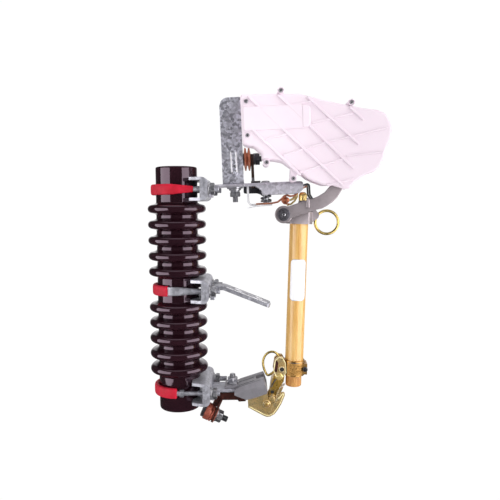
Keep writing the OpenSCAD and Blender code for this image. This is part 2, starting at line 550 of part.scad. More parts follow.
// ---- load-break lever, in the chute's centre plane ----
blade_pts = [[151, 268], [159.4, 273.6], [176, 279.6], [193, 285], [204, 287.5], [212, 291.5], [219, 296.5], [225, 302.5], [231, 312],
  [235, 322], [237, 332], [235, 335], [221, 335], [219, 326], [215, 318], [208, 310], [199, 304.5], [187, 300], [173, 296], [158, 291], [151, 291]];
module breaker_blade() color([0.62, 0.61, 0.63]) difference() {
  union() {
    plate_y(blade_pts, -chute_y - blade_t / 2, -chute_y + blade_t / 2);
    shaft_y(hub, hub_d, -chute_y - blade_t / 2, -chute_y + blade_t / 2);
    // upright fin on the near face
    plate_y([[182, 288.6], [186, 288.6], [186, 302.3], [182.3, 302.3]], -chute_y - blade_t / 2 - 3, -chute_y);
  }
  shaft_y(hub, 8, -40, 0, 48);
}
module blade_hub() color([0.2, 0.2, 0.22]) {
  shaft_y(hub, 18, -chute_y - blade_t / 2 - 3.4, -chute_y - blade_t / 2);
  shaft_y(hub, 7.9, -chute_y - blade_t / 2 - 1, -5);
  shaft_y(hub, 14, -chute_y + blade_t / 2, -uc_half - 0.3);
}

place() insulator();
place() clamp_bands();
place() band_sleeves();
place() clamp_nuts();
place() top_saddle();
place() middle_saddle();
place() bottom_saddle();
place() mounting_strap();
place() top_channel();
place() chute_plate();
place() plate_bolt();
place() chute_front();
place() chute_back();
place() chute_screws();
place() top_terminal_pad();
place() top_terminal_jaws();
place() top_terminal_bolt();
place() contact_bolt();
place() contact_strip();
place() contact_spring();
place() backing_spring();
place() contact_guide();
place() hinge_bar();
place() hinge_support();
place() support_bolt();
place() hook_plates();
place() hook_rivet();
place() terminal_bar();
place() bottom_terminal_jaws();
place() bottom_terminal_bolt();
place() fuse_tube();
place() tube_end();
place() tube_label();
place() upper_casting();
place() contact_cap();
place() pull_ring();
place() lower_collar();
place() collar_bolt();
place() trunnion_link();
place() trunnion_pin();
place() lifting_ring();
place() flipper_strip();
place() breaker_blade();
place() blade_hub();
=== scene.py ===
import json
import math

import bmesh
import bpy
from mathutils import Matrix, Vector

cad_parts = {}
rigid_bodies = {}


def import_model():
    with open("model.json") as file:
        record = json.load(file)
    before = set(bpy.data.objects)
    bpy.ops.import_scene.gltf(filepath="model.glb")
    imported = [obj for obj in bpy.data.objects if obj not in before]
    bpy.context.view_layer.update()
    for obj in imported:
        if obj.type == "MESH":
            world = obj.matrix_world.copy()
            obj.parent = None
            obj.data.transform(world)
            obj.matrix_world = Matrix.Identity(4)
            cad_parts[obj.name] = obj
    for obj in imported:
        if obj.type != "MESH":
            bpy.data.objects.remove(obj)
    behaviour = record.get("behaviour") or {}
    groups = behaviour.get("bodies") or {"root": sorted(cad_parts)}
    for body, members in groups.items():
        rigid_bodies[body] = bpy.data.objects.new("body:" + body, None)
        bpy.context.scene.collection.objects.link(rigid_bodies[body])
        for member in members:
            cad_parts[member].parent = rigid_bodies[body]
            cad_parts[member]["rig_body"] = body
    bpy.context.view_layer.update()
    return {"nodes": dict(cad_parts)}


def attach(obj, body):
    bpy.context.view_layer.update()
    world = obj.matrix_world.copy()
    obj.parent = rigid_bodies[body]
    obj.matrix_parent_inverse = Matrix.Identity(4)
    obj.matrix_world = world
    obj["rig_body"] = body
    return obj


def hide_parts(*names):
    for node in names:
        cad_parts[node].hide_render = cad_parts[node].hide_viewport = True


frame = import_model()

ROOT, HOLDER, LEVER = "cutout_frame", "fuse_holder", "load_break_lever"

# ---------------------------------------------------------------- frames
# millimetres in the insulator's own frame (x from its axis, z from its foot) to metres in the row frame
SL = math.radians(22)
OX = 66 + 37 * math.cos(SL) + 3 * math.sin(SL)
OZ = 176 - 37 * math.sin(SL) + 3 * math.cos(SL)


def turn_y(deg):
    return Matrix.Rotation(math.radians(deg), 4, "Y")


def shift(x, y, z):
    return Matrix.Translation((x, y, z))


BASE = Matrix.Scale(0.001, 4) @ shift(-OX, 0, -OZ)
TOP = BASE @ shift(55, 0, 321.5) @ turn_y(-2)
TUBE = BASE @ shift(167.3, 0, 76.2) @ turn_y(2.1)
FOOT = BASE @ shift(45, -5, -8) @ turn_y(25)
P1, P2, HUB = (134, 15), (148.3, 57), (151, 279.6)


# ---------------------------------------------------------------- meshes
def finish_mesh(bm, name, matrix, body, material, replaces=(), smooth=35, bevel=0.0, seg=2, limit=30, weigh=False):
    """Puts a mesh made in millimetres in its place, rounds and smooths it, and hangs it on its body."""
    bmesh.ops.remove_doubles(bm, verts=bm.verts, dist=1e-4)
    bmesh.ops.transform(bm, matrix=matrix, verts=bm.verts)
    bmesh.ops.recalc_face_normals(bm, faces=bm.faces)
    mesh = bpy.data.meshes.new(name)
    bm.to_mesh(mesh)
    bm.free()
    o = bpy.data.objects.new(name, mesh)
    bpy.context.scene.collection.objects.link(o)
    return dress(o, body, material, replaces, smooth, bevel, seg, limit, weigh)


def dress(o, body, material, replaces=(), smooth=35, bevel=0.0, seg=2, limit=30, weigh=False):
    mesh = o.data
    for p in mesh.polygons:
        p.use_smooth = True
    mesh.set_sharp_from_angle(angle=math.radians(smooth))
    if bevel:
        m = o.modifiers.new("edges", "BEVEL")
        m.width = bevel / 1000
        m.segments = seg
        m.limit_method = "ANGLE"
        m.angle_limit = math.radians(limit)
        m.harden_normals = True
        m.miter_outer = "MITER_ARC"
    if weigh:
        m = o.modifiers.new("normals", "WEIGHTED_NORMAL")
        m.keep_sharp = True
    mesh.materials.clear()
    mesh.materials.append(material)
    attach(o, body)
    if replaces:
        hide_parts(*replaces)
    return o


def from_cad(node, name, material, bevel=0.5, seg=2, smooth=35, limit=30, dissolve=1.2, bend=None):
    """A refined copy of a CAD piece: flat faces made whole, edges rounded."""
    src = frame["nodes"][node]
    mesh = src.data.copy()
    o = bpy.data.objects.new(name, mesh)
    bpy.context.scene.collection.objects.link(o)
    bm = bmesh.new()
    bm.from_mesh(mesh)
    bmesh.ops.remove_doubles(bm, verts=bm.verts, dist=1e-6)
    bmesh.ops.dissolve_limit(bm, angle_limit=math.radians(dissolve), verts=bm.verts, edges=bm.edges, use_dissolve_boundaries=False)
    if bend:
        bend(bm)
    bm.to_mesh(mesh)
    bm.free()
    return dress(o, src["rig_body"], material, (node,), smooth, bevel, seg, limit)


def ring_verts(bm, pts):
    return [bm.verts.new(p) for p in pts]


def bridge(bm, a, b, closed=True):
    n = len(a)
    for i in range(n if closed else n - 1):
        j = (i + 1) % n
        bm.faces.new((a[i], a[j], b[j], b[i]))


def revolve(bm, profile, n=96, axis="Z", centre=(0, 0, 0), cap=True):
    """profile: (radius, height) pairs from one end to the other."""
    rings = []
    for r, h in profile:
        pts = []
        for i in range(n):
            t = 2 * math.pi * i / n
            a, b = r * math.cos(t), r * math.sin(t)
            p = {"Z": (a, b, h), "X": (h, a, b), "Y": (b, h, a)}[axis]
            pts.append((p[0] + centre[0], p[1] + centre[1], p[2] + centre[2]))
        rings.append(ring_verts(bm, pts))
    for a, b in zip(rings, rings[1:]):
        bridge(bm, a, b)
    if cap:
        for ring, (r, _) in ((rings[0], profile[0]), (rings[-1], profile[-1])):
            if r > 1e-6:
                bm.faces.new(ring)
    return rings


def closed_revolve(bm, profile, n=96, axis="Z", centre=(0, 0, 0)):
    """A ring-shaped body: the profile is a closed loop."""
    rings = revolve(bm, profile, n, axis, centre, cap=False)
    bridge(bm, rings[-1], rings[0])
    return rings


def fillet(pts, r, n=5, closed=True):
    """Rounds the corners of an outline. r is one radius, or one for each corner."""
    out = []
    m = len(pts)
    for i, b in enumerate(pts):
        ri = r[i] if isinstance(r, (list, tuple)) else r
        if not closed and i in (0, m - 1):
            out.append(tuple(b))
            continue
        a, c = pts[i - 1], pts[(i + 1) % m]
        u = Vector((a[0] - b[0], a[1] - b[1]))
        v = Vector((c[0] - b[0], c[1] - b[1]))
        lu, lv = u.length, v.length
        if ri <= 0 or lu < 1e-9 or lv < 1e-9:
            out.append(tuple(b))
            continue
        u.normalize(), v.normalize()
        ang = math.acos(max(-1, min(1, u.dot(v))))
        if ang > math.radians(176):
            out.append(tuple(b))
            continue
        d = min(ri / math.tan(ang / 2), lu * 0.48, lv * 0.48)
        p0, p1 = Vector(b) + u * d, Vector(b) + v * d
        for k in range(n + 1):
            t = k / n
            q = (1 - t) ** 2 * p0 + 2 * t * (1 - t) * Vector(b) + t * t * p1
            out.append((q.x, q.y))
    return out


def prism_y(bm, pts, y0, y1):
    """A plate: an outline in the xz plane, from y0 to y1."""
    a = ring_verts(bm, [(x, y0, z) for x, z in pts])
    b = ring_verts(bm, [(x, y1, z) for x, z in pts])
    bridge(bm, a, b)
    bm.faces.new(a)
    bm.faces.new(b)


def ribbon(path, t):
    n = len(path)
    up, down = [], []
    for i in range(n):
        u = Vector(path[i]) - Vector(path[i - 1]) if i else Vector(path[1]) - Vector(path[0])
        v = Vector(path[i + 1]) - Vector(path[i]) if i < n - 1 else u
        u.normalize(), v.normalize()
        o = Vector((-u.y - v.y, u.x + v.x)) / (1 + u.dot(v)) * t / 2
        up.append((path[i][0] + o.x, path[i][1] + o.y))
        down.append((path[i][0] - o.x, path[i][1] - o.y))
    return up, down


def sheet_y(bm, path, t, y0, y1, cols=1, shape=None):
    """A bent strip with a closed surface. shape(u) gives the half width share along the path."""
    up, down = ribbon(path, t)
    n = len(path)
    length = [0.0]
    for i in range(1, n):
        length.append(length[-1] + (Vector(path[i]) - Vector(path[i - 1])).length)
    ymid, half = (y0 + y1) / 2, (y1 - y0) / 2
    rows = []
    for i in range(n):
        w = half * (shape(length[i] / length[-1]) if shape else 1)
        ys = [ymid - w + 2 * w * k / cols for k in range(cols + 1)]
        rows.append(ring_verts(bm, [(up[i][0], y, up[i][1]) for y in ys] + [(down[i][0], y, down[i][1]) for y in reversed(ys)]))
    for a, b in zip(rows, rows[1:]):
        bridge(bm, a, b)
    for r in (rows[0], rows[-1]):
        bm.faces.new(r)


def pipe(bm, pts, r, n=12, closed=False, squash=1.0):
    """A round wire along 3-D points. r may be one value or one for each point."""
    m = len(pts)
    pts = [Vector(p) for p in pts]
    rings = []
    last = None
    for i in range(m):
        if closed:
            d = pts[(i + 1) % m] - pts[i - 1]
        else:
            d = pts[min(i + 1, m - 1)] - pts[max(i - 1, 0)]
        d.normalize()
        if last is None:
            ref = Vector((0, 1, 0)) if abs(d.y) < 0.9 else Vector((1, 0, 0))
            u = d.cross(ref).normalized()
        else:
            u = (last - d * last.dot(d)).normalized()
        last = u
        v = d.cross(u)
        ri = r[i] if isinstance(r, (list, tuple)) else r
        rings.append(ring_verts(bm, [pts[i] + u * ri * math.cos(2 * math.pi * k / n) + v * ri * squash * math.sin(2 * math.pi * k / n) for k in range(n)]))
    for a, b in zip(rings, rings[1:]):
        bridge(bm, a, b)
    if closed:
        # joins with the least twist
        a, b = rings[-1], rings[0]
        best = min(range(n), key=lambda s: sum((a[k].co - b[(k + s) % n].co).length for k in range(n)))
        bridge(bm, a, b[best:] + b[:best])
    else:
        bm.faces.new(rings[0])
        bm.faces.new(rings[-1])


def thread(bm, origin, axis, x0, x1, d, pitch=1.25, n=28, depth=0.62, steps=6, plain=None):
    """A threaded shaft with a true helical thread and chamfered ends, from x0 to x1 along its axis."""
    m = Matrix.Translation(origin) @ {"X": Matrix.Identity(4), "Z": Matrix.Rotation(-math.pi / 2, 4, "Y"), "Y": Matrix.Rotation(math.pi / 2, 4, "Z")}[axis]
    rows = max(2, int((x1 - x0) / pitch * steps))
    r0 = d / 2
    prof = []
    for i in range(rows + 1):
        x = x0 + (x1 - x0) * i / rows
        end = min(x - x0, x1 - x)
        prof.append((x, end))
    rings = []
    for x, end in prof:
        pts = []
        for k in range(n):
            a = 2 * math.pi * k / n
            ph = (x / pitch + k / n) % 1
            tri = abs(2 * ph - 1)
            tri = min(1, max(0, (tri - 0.08) / 0.8))
            cut = depth * tri
            if plain and plain[0] <= x <= plain[1]:
                cut = 0
            r = min(r0 - cut, r0 - depth * 1.3 + end * 1.1)
            pts.append(m @ Vector((x, r * math.cos(a), r * math.sin(a))))
        rings.append(ring_verts(bm, pts))
    for a, b in zip(rings, rings[1:]):
        bridge(bm, a, b)
    bm.faces.new(rings[0])
    bm.faces.new(rings[-1])


def axis_matrix(origin, axis):
    rot = {"X": Matrix.Identity(4), "Z": Matrix.Rotation(-math.pi / 2, 4, "Y"), "Y": Matrix.Rotation(math.pi / 2, 4, "Z")}[axis]
    return Matrix.Translation(origin) @ rot


def hex_nut(bm, origin, axis, x0, h, af, bore, turn=0.0, chamfer=(True, True)):
    """A hexagon nut or head with the curved chamfer a real one has. bore 0 makes a head."""
    m = axis_matrix(origin, axis)
    n = 72
    rc = af / 2 / math.cos(math.pi / 6)
    ch = (rc - af / 2) * 0.62

    def hexr(a):
        a = (a - turn) % (math.pi / 3) - math.pi / 6
        return af / 2 / math.cos(a)

    hs = []
    for f in (0, 0.25, 0.5, 0.75, 1):
        hs.append((f * ch if chamfer[0] else 0.02 * f, af / 2 * 0.975 + (rc - af / 2 * 0.975) * f if chamfer[0] else rc))
    top = [(h - z, lim) for z, lim in reversed(hs)] if chamfer[1] else [(h, rc)]
    hs = hs + top
    rings = []
    for z, lim in hs:
        rings.append(ring_verts(bm, [m @ Vector((x0 + z, min(hexr(2 * math.pi * k / n), lim) * math.cos(2 * math.pi * k / n), min(hexr(2 * math.pi * k / n), lim) * math.sin(2 * math.pi * k / n))) for k in range(n)]))
    for a, b in zip(rings, rings[1:]):
        bridge(bm, a, b)
    if bore:
        rb = bore / 2
        inner = []
        for z, r in ((0, rb + 0.7), (0.7, rb), (h - 0.7, rb), (h, rb + 0.7)):
            inner.append(ring_verts(bm, [m @ Vector((x0 + z, r * math.cos(2 * math.pi * k / n), r * math.sin(2 * math.pi * k / n))) for k in range(n)]))
        for a, b in zip(inner, inner[1:]):
            bridge(bm, a, b)
        bridge(bm, rings[0], inner[0])
        bridge(bm, rings[-1], inner[-1])
    else:
        bm.faces.new(rings[0])
        bm.faces.new(rings[-1])


def washer(bm, origin, axis, x0, h, d, bore):
    c = 0.3
    m = axis_matrix(origin, axis)
    n = 56
    prof = [(bore / 2, 0), (d / 2 - c, 0), (d / 2, c), (d / 2, h - c), (d / 2 - c, h), (bore / 2, h)]
    rings = [ring_verts(bm, [m @ Vector((x0 + z, r * math.cos(2 * math.pi * k / n), r * math.sin(2 * math.pi * k / n))) for k in range(n)]) for r, z in prof]
    for a, b in zip(rings, rings[1:]):
        bridge(bm, a, b)
    bridge(bm, rings[-1], rings[0])


def turned(bm, origin, axis, prof, n=48, cap=True):
    """A turned shape along an axis: prof is (x, radius) pairs."""
    m = axis_matrix(origin, axis)
    rings = [ring_verts(bm, [m @ Vector((x, r * math.cos(2 * math.pi * k / n), r * math.sin(2 * math.pi * k / n))) for k in range(n)]) for x, r in prof]
    for a, b in zip(rings, rings[1:]):
        bridge(bm, a, b)
    if cap:
        bm.faces.new(rings[0])
        bm.faces.new(rings[-1])
    else:
        bridge(bm, rings[-1], rings[0])


def cut_with(o, cutters, mode="DIFFERENCE"):
    """Booleans o's mesh with a list of bmeshes in the same place, and keeps the result."""
    for i, cb in enumerate(cutters):
        bmesh.ops.recalc_face_normals(cb, faces=cb.faces)
        cm = bpy.data.meshes.new("cutter")
        cb.to_mesh(cm)
        cb.free()
        co = bpy.data.objects.new("cutter", cm)
        bpy.context.scene.collection.objects.link(co)
        m = o.modifiers.new("cut", "BOOLEAN")
        m.operation = mode
        m.solver = "EXACT"
        m.object = co
        bpy.context.view_layer.update()
        dg = bpy.context.evaluated_depsgraph_get()
        new = bpy.data.meshes.new_from_object(o.evaluated_get(dg))
        o.modifiers.remove(m)
        old = o.data
        o.data = new
        bpy.data.meshes.remove(old)
        bpy.data.objects.remove(co)
        bpy.data.meshes.remove(cm)
    return o


def solid_mm(bm, cutters=(), unions=()):
    """A millimetre mesh after booleans, as a bmesh."""
    bmesh.ops.recalc_face_normals(bm, faces=bm.faces)
    mesh = bpy.data.meshes.new("work")
    bm.to_mesh(mesh)
    bm.free()
    o = bpy.data.objects.new("work", mesh)
    bpy.context.scene.collection.objects.link(o)
    if unions:
        cut_with(o, unions, "UNION")
    cut_with(o, cutters)
    out = bmesh.new()
    out.from_mesh(o.data)
    bpy.data.objects.remove(o)
    bmesh.ops.remove_doubles(out, verts=out.verts, dist=1e-4)
    bmesh.ops.dissolve_limit(out, angle_limit=math.radians(0.5), verts=out.verts, edges=out.edges)
    return out


def cyl_y(p, d, y0, y1, n=48):
    bm = bmesh.new()
    revolve(bm, [(d / 2, y0), (d / 2, y1)], n, "Y", (p[0], 0, p[1]))
    return bm


def cyl_z(x, y, d, z0, z1, n=48):
    bm = bmesh.new()
    revolve(bm, [(d / 2, z0), (d / 2, z1)], n, "Z", (x, y, 0))
    return bm


def cyl_x(y, z, d, x0, x1, n=48):
    bm = bmesh.new()
    revolve(bm, [(d / 2, x0), (d / 2, x1)], n, "X", (0, y, z))
    return bm


def box_bm(x0, x1, y0, y1, z0, z1):
    bm = bmesh.new()
    prism_y(bm, [(x0, z0), (x1, z0), (x1, z1), (x0, z1)], y0, y1)
    return bm


# ---------------------------------------------------------------- materials
class Nodes:
    """A small helper for writing node materials."""

    def __init__(self, name):
        self.m = bpy.data.materials.new(name)
        self.m.use_nodes = True
        self.t = self.m.node_tree
        self.t.nodes.clear()
        self.out = self.t.nodes.new("ShaderNodeOutputMaterial")
        self.b = self.t.nodes.new("ShaderNodeBsdfPrincipled")
        self.t.links.new(self.b.outputs[0], self.out.inputs[0])
        self.tc = self.t.nodes.new("ShaderNodeTexCoord")
        self.obj = self.tc.outputs["Object"]

    def put(self, sock, v):
        if isinstance(v, bpy.types.NodeSocket):
            self.t.links.new(v, sock)
        elif v is not None:
            if hasattr(sock.default_value, "__len__") and not hasattr(v, "__len__"):
                sock.default_value = [v] * len(sock.default_value)
            elif hasattr(sock.default_value, "__len__") and len(sock.default_value) == 4 and len(v) == 3:
                sock.default_value = (*v, 1)
            else:
                sock.default_value = v

    def set(self, **kw):
        for k, v in kw.items():
            self.put(self.b.inputs[k.replace("_", " ")], v)
        return self

    def mapping(self, scale=(1, 1, 1), rot=(0, 0, 0), loc=(0, 0, 0), src=None):
        n = self.t.nodes.new("ShaderNodeMapping")
        self.put(n.inputs["Vector"], src or self.obj)
        n.inputs["Scale"].default_value = scale
        n.inputs["Rotation"].default_value = rot
        n.inputs["Location"].default_value = loc
        return n.outputs[0]

    def noise(self, scale, detail=3, rough=0.55, dist=0.0, src=None, color=False):
        n = self.t.nodes.new("ShaderNodeTexNoise")
        self.put(n.inputs["Vector"], src or self.obj)
        n.inputs["Scale"].default_value = scale
        n.inputs["Detail"].default_value = detail
        n.inputs["Roughness"].default_value = rough
        n.inputs["Distortion"].default_value = dist
        return n.outputs["Color" if color else "Fac"]

    def voronoi(self, scale, feature="F1", src=None, out="Distance", rand=1.0):
        n = self.t.nodes.new("ShaderNodeTexVoronoi")
        n.feature = feature
        self.put(n.inputs["Vector"], src or self.obj)
        n.inputs["Scale"].default_value = scale
        n.inputs["Randomness"].default_value = rand
        return n.outputs[out]

    def wave(self, scale, dist=0.0, detail=2, src=None, direction="X", dscale=1.0):
        n = self.t.nodes.new("ShaderNodeTexWave")
        n.wave_type = "BANDS"
        n.bands_direction = direction
        self.put(n.inputs["Vector"], src or self.obj)
        n.inputs["Scale"].default_value = scale
        n.inputs["Distortion"].default_value = dist
        n.inputs["Detail"].default_value = detail
        n.inputs["Detail Scale"].default_value = dscale
        return n.outputs["Fac"]

    def math(self, op, a, b=None, c=None, clamp=False):
        n = self.t.nodes.new("ShaderNodeMath")
        n.operation = op
        n.use_clamp = clamp
        for s, v in zip(n.inputs, (a, b, c)):
            if v is not None:
                self.put(s, v)
        return n.outputs[0]

    def span(self, v, a, b, c, d):
        """v from the range a..b to c..d, clamped."""
        n = self.t.nodes.new("ShaderNodeMapRange")
        self.put(n.inputs[0], v)
        for s, x in zip(n.inputs[1:5], (a, b, c, d)):
            s.default_value = x
        return n.outputs[0]

    def mix(self, f, a, b, blend="MIX"):
        n = self.t.nodes.new("ShaderNodeMix")
        n.data_type = "RGBA"
        n.blend_type = blend
        self.put(n.inputs[0], f)
        self.put(n.inputs[6], a)
        self.put(n.inputs[7], b)
        return n.outputs[2]

    def ramp(self, f, *stops):
        n = self.t.nodes.new("ShaderNodeValToRGB")
        self.put(n.inputs[0], f)
        r = n.color_ramp
        while len(r.elements) < len(stops):
            r.elements.new(0.5)
        for e, (p, c) in zip(r.elements, stops):
            e.position = p
            e.color = (*c, 1) if len(c) == 3 else c
        return n.outputs[0]

    def sep(self, v):
        n = self.t.nodes.new("ShaderNodeSeparateXYZ")
        self.put(n.inputs[0], v)
        return n.outputs

    def comb(self, x, y, z):
        n = self.t.nodes.new("ShaderNodeCombineXYZ")
        for s, v in zip(n.inputs, (x, y, z)):
            self.put(s, v)
        return n.outputs[0]

    def point(self):
        g = self.t.nodes.new("ShaderNodeNewGeometry")
        return g.outputs["Pointiness"]

    def bump(self, h, strength=0.3, dist=0.001, normal=None):
        n = self.t.nodes.new("ShaderNodeBump")
        n.inputs["Strength"].default_value = strength
        n.inputs["Distance"].default_value = dist
        self.put(n.inputs["Height"], h)
        if normal:
            self.put(n.inputs["Normal"], normal)
        self.put(self.b.inputs["Normal"], n.outputs[0])
        return n.outputs[0]


def glaze():
    n = Nodes("porcelain_glaze")
    big = n.noise(26, 4, 0.6)
    fine = n.noise(620, 3, 0.6)
    col = n.mix(n.span(big, 0.3, 0.72, 0, 1), (0.0155, 0.0046, 0.0078), (0.0235, 0.0072, 0.0112))
    specks = n.span(n.noise(1500, 2, 0.5), 0.66, 0.74, 0, 1)
    col = n.mix(n.math("MULTIPLY", specks, 0.35), col, (0.05, 0.02, 0.02))
    n.set(Base_Color=col, Roughness=n.span(fine, 0.3, 0.7, 0.045, 0.085))
    n.b.inputs["IOR"].default_value = 1.56
    n.b.inputs["Specular Tint"].default_value = (1.0, 0.76, 0.93, 1)
    n.b.inputs["Coat Weight"].default_value = 0.12
    n.b.inputs["Coat Roughness"].default_value = 0.03
    n.bump(n.math("ADD", n.noise(95, 2, 0.5), n.math("MULTIPLY", fine, 0.12)), 0.06, 0.0012)
    return n.m


def bare_clay():
    n = Nodes("unglazed_porcelain")
    n.set(Base_Color=n.ramp(n.noise(500, 5, 0.7), (0.3, (0.30, 0.24, 0.20)), (0.7, (0.42, 0.36, 0.31))), Roughness=0.85)
    n.bump(n.noise(2200, 4, 0.7), 0.4, 0.0003)
    return n.m


def zinc(name, tone=(0.35, 0.35, 0.39), spangle=230, rough=(0.30, 0.52), contrast=0.35, metal=0.55, darkening=0.25, fine=9):
    """Hot-dip zinc: crystal spangle, soft clouding and dull patches."""
    n = Nodes(name)
    cells = n.voronoi(spangle, out="Color", src=n.mapping((1, 1, 1), src=None))
    v = n.sep(cells)
    fern = n.noise(spangle * fine, 3, 0.65, 0.4)
    cloud = n.noise(38, 4, 0.65, 0.6)
    k = n.math("ADD", n.math("MULTIPLY", v[0], 0.55), n.math("MULTIPLY", fern, 0.45))
    lo = tuple(c * (1 - contrast) for c in tone)
    hi = tuple(min(1, c * (1 + contrast * 0.75)) for c in tone)
    col = n.mix(n.span(k, 0.25, 0.8, 0, 1), lo, hi)
    col = n.mix(n.math("MULTIPLY", n.span(cloud, 0.5, 0.75, 0, 1), darkening), col, tuple(c * 0.45 for c in tone))
    # edges painted bright: rubbed wear and painted highlight
    edge = n.span(n.point(), 0.52, 0.6, 0, 0.6)
    col = n.mix(edge, col, tuple(min(1, c * 1.35) for c in tone))
    n.set(Base_Color=col, Roughness=n.span(n.math("ADD", v[1], n.math("MULTIPLY", cloud, 0.6)), 0.2, 1.3, rough[0], rough[1]))
    n.b.inputs["Metallic"].default_value = metal
    n.bump(n.math("ADD", n.math("MULTIPLY", n.noise(420, 3, 0.6), 0.5), n.math("MULTIPLY", fern, 0.25)), 0.22, 0.00035)
    return n.m


def cast(name, tone, rough=(0.42, 0.62), metal=0.75, grain=900, depth=0.35, darkening=(0.10, 0.09, 0.09)):
    """Cast metal with a sand skin, painted shade in its hollows and edges painted bright, as rubbed wear and as a
    highlight.
    """
    n = Nodes(name)
    skin = n.noise(grain, 5, 0.7)
    cloud = n.noise(70, 4, 0.6)
    col = n.mix(n.span(cloud, 0.3, 0.7, 0, 1), tuple(c * 0.86 for c in tone), tuple(min(1, c * 1.1) for c in tone))
    col = n.mix(n.math("MULTIPLY", n.span(skin, 0.35, 0.2, 0, 1), 0.5), col, darkening)
    # edges painted bright: rubbed wear and painted highlight
    col = n.mix(n.span(n.point(), 0.52, 0.62, 0, 0.55), col, tuple(min(1, c * 1.45) for c in tone))
    # painted shade in the hollows
    col = n.mix(n.span(n.point(), 0.48, 0.40, 0, 0.6), col, darkening)
    n.set(Base_Color=col, Roughness=n.span(skin, 0.3, 0.7, rough[0], rough[1]))
    n.b.inputs["Metallic"].default_value = metal
    n.bump(n.math("ADD", skin, n.math("MULTIPLY", cloud, 0.5)), depth, 0.00035)
    return n.m


def vinyl():
    n = Nodes("red_vinyl")
    wrinkle = n.noise(240, 3, 0.6, 0.5, src=n.mapping((1, 1, 0.35)))
    col = n.mix(n.span(n.noise(90, 3), 0.35, 0.7, 0, 1), (0.46, 0.006, 0.022), (0.60, 0.010, 0.038))
    n.set(Base_Color=col, Roughness=n.span(n.noise(600, 3), 0.3, 0.7, 0.5, 0.64))
    n.b.inputs["Specular IOR Level"].default_value = 0.14
    n.b.inputs["Subsurface Weight"].default_value = 0.03
    n.b.inputs["Subsurface Radius"].default_value = (0.004, 0.001, 0.001)
    n.bump(wrinkle, 0.22, 0.0006)
    return n.m


def chute_plastic():
    n = Nodes("chute_plastic")
    cloud = n.noise(16, 4, 0.6, 0.4)
    fine = n.noise(1400, 3, 0.6)
    col = n.mix(n.span(cloud, 0.3, 0.7, 0, 1), (0.825, 0.710, 0.785), (0.860, 0.768, 0.832))
    # painted shade: darker towards the right, where the bulb is
    col = n.mix(n.span(n.sep(n.obj)[0], 0.03, 0.16, 0, 0.8), col, (0.710, 0.612, 0.680))
    # painted shade in the hollows at the ribs' feet
    col = n.mix(n.span(n.point(), 0.49, 0.44, 0, 0.4), col, (0.78, 0.68, 0.76))
    n.set(Base_Color=col, Roughness=n.span(fine, 0.3, 0.7, 0.46, 0.58))
    n.b.inputs["Subsurface Weight"].default_value = 0.06
    n.b.inputs["Subsurface Radius"].default_value = (0.006, 0.004, 0.005)
    n.b.inputs["Subsurface Scale"].default_value = 0.4
    n.b.inputs["Specular IOR Level"].default_value = 0.16
    n.bump(n.math("ADD", n.math("MULTIPLY", fine, 0.2), n.noise(120, 3, 0.5)), 0.12, 0.0005)
    return n.m


def copper(name="bare_copper", metal=0.85):
    n = Nodes(name)
    patch = n.noise(110, 5, 0.65, 0.8)
    col = n.ramp(patch, (0.28, (0.16, 0.045, 0.025)), (0.45, (0.50, 0.135, 0.065)), (0.62, (0.74, 0.27, 0.15)), (0.8, (0.86, 0.42, 0.28)))
    # edges painted bright: rubbed wear and painted highlight
    col = n.mix(n.span(n.point(), 0.52, 0.6, 0, 0.6), col, (0.95, 0.50, 0.34))
    # painted shade in the hollows
    col = n.mix(n.span(n.point(), 0.48, 0.41, 0, 0.75), col, (0.10, 0.03, 0.02))
    n.set(Base_Color=col, Roughness=n.span(n.noise(480, 4), 0.3, 0.7, 0.26, 0.46))
    n.b.inputs["Metallic"].default_value = metal
    n.bump(n.noise(700, 4, 0.65), 0.18, 0.0003)
    return n.m


def red_copper():
    """The dull orange-red body of the lower connector."""
    n = Nodes("connector_copper")
    patch = n.noise(150, 5, 0.6, 0.5)
    col = n.ramp(patch, (0.3, (0.20, 0.036, 0.022)), (0.5, (0.30, 0.060, 0.036)), (0.72, (0.40, 0.095, 0.058)))
    # edges painted bright: rubbed wear and painted highlight
    col = n.mix(n.span(n.point(), 0.52, 0.6, 0, 0.4), col, (0.60, 0.20, 0.12))
    # painted shade in the hollows
    col = n.mix(n.span(n.point(), 0.48, 0.41, 0, 0.7), col, (0.07, 0.02, 0.015))
    n.set(Base_Color=col, Roughness=n.span(n.noise(520, 4), 0.3, 0.7, 0.36, 0.55))
    n.b.inputs["Metallic"].default_value = 0.35
    n.bump(n.noise(800, 5, 0.7), 0.3, 0.0004)
    return n.m


def black_steel(name="black_steel", tone=(0.022, 0.022, 0.026), rough=(0.32, 0.5)):
    n = Nodes(name)
    patch = n.noise(300, 4, 0.6)
    col = n.mix(n.span(patch, 0.3, 0.7, 0, 1), tuple(c * 0.6 for c in tone), tuple(c * 1.7 for c in tone))
    # edges painted bright: rubbed wear and painted highlight
    col = n.mix(n.span(n.point(), 0.53, 0.62, 0, 0.7), col, (0.22, 0.22, 0.24))
    n.set(Base_Color=col, Roughness=n.span(n.noise(800, 3), 0.3, 0.7, *rough))
    n.b.inputs["Metallic"].default_value = 0.6
    n.bump(n.noise(1300, 3, 0.6), 0.15, 0.0002)
    return n.m


def bright_steel(name="bright_steel", tone=(0.66, 0.66, 0.69), rough=(0.16, 0.32), metal=1.0):
    n = Nodes(name)
    n.set(Base_Color=n.mix(n.span(n.noise(240, 4), 0.3, 0.7, 0, 1), tuple(c * 0.8 for c in tone), tone),
          Roughness=n.span(n.noise(900, 4), 0.3, 0.7, *rough))
    n.b.inputs["Metallic"].default_value = metal
    n.bump(n.noise(1500, 3, 0.6), 0.1, 0.0002)
    return n.m


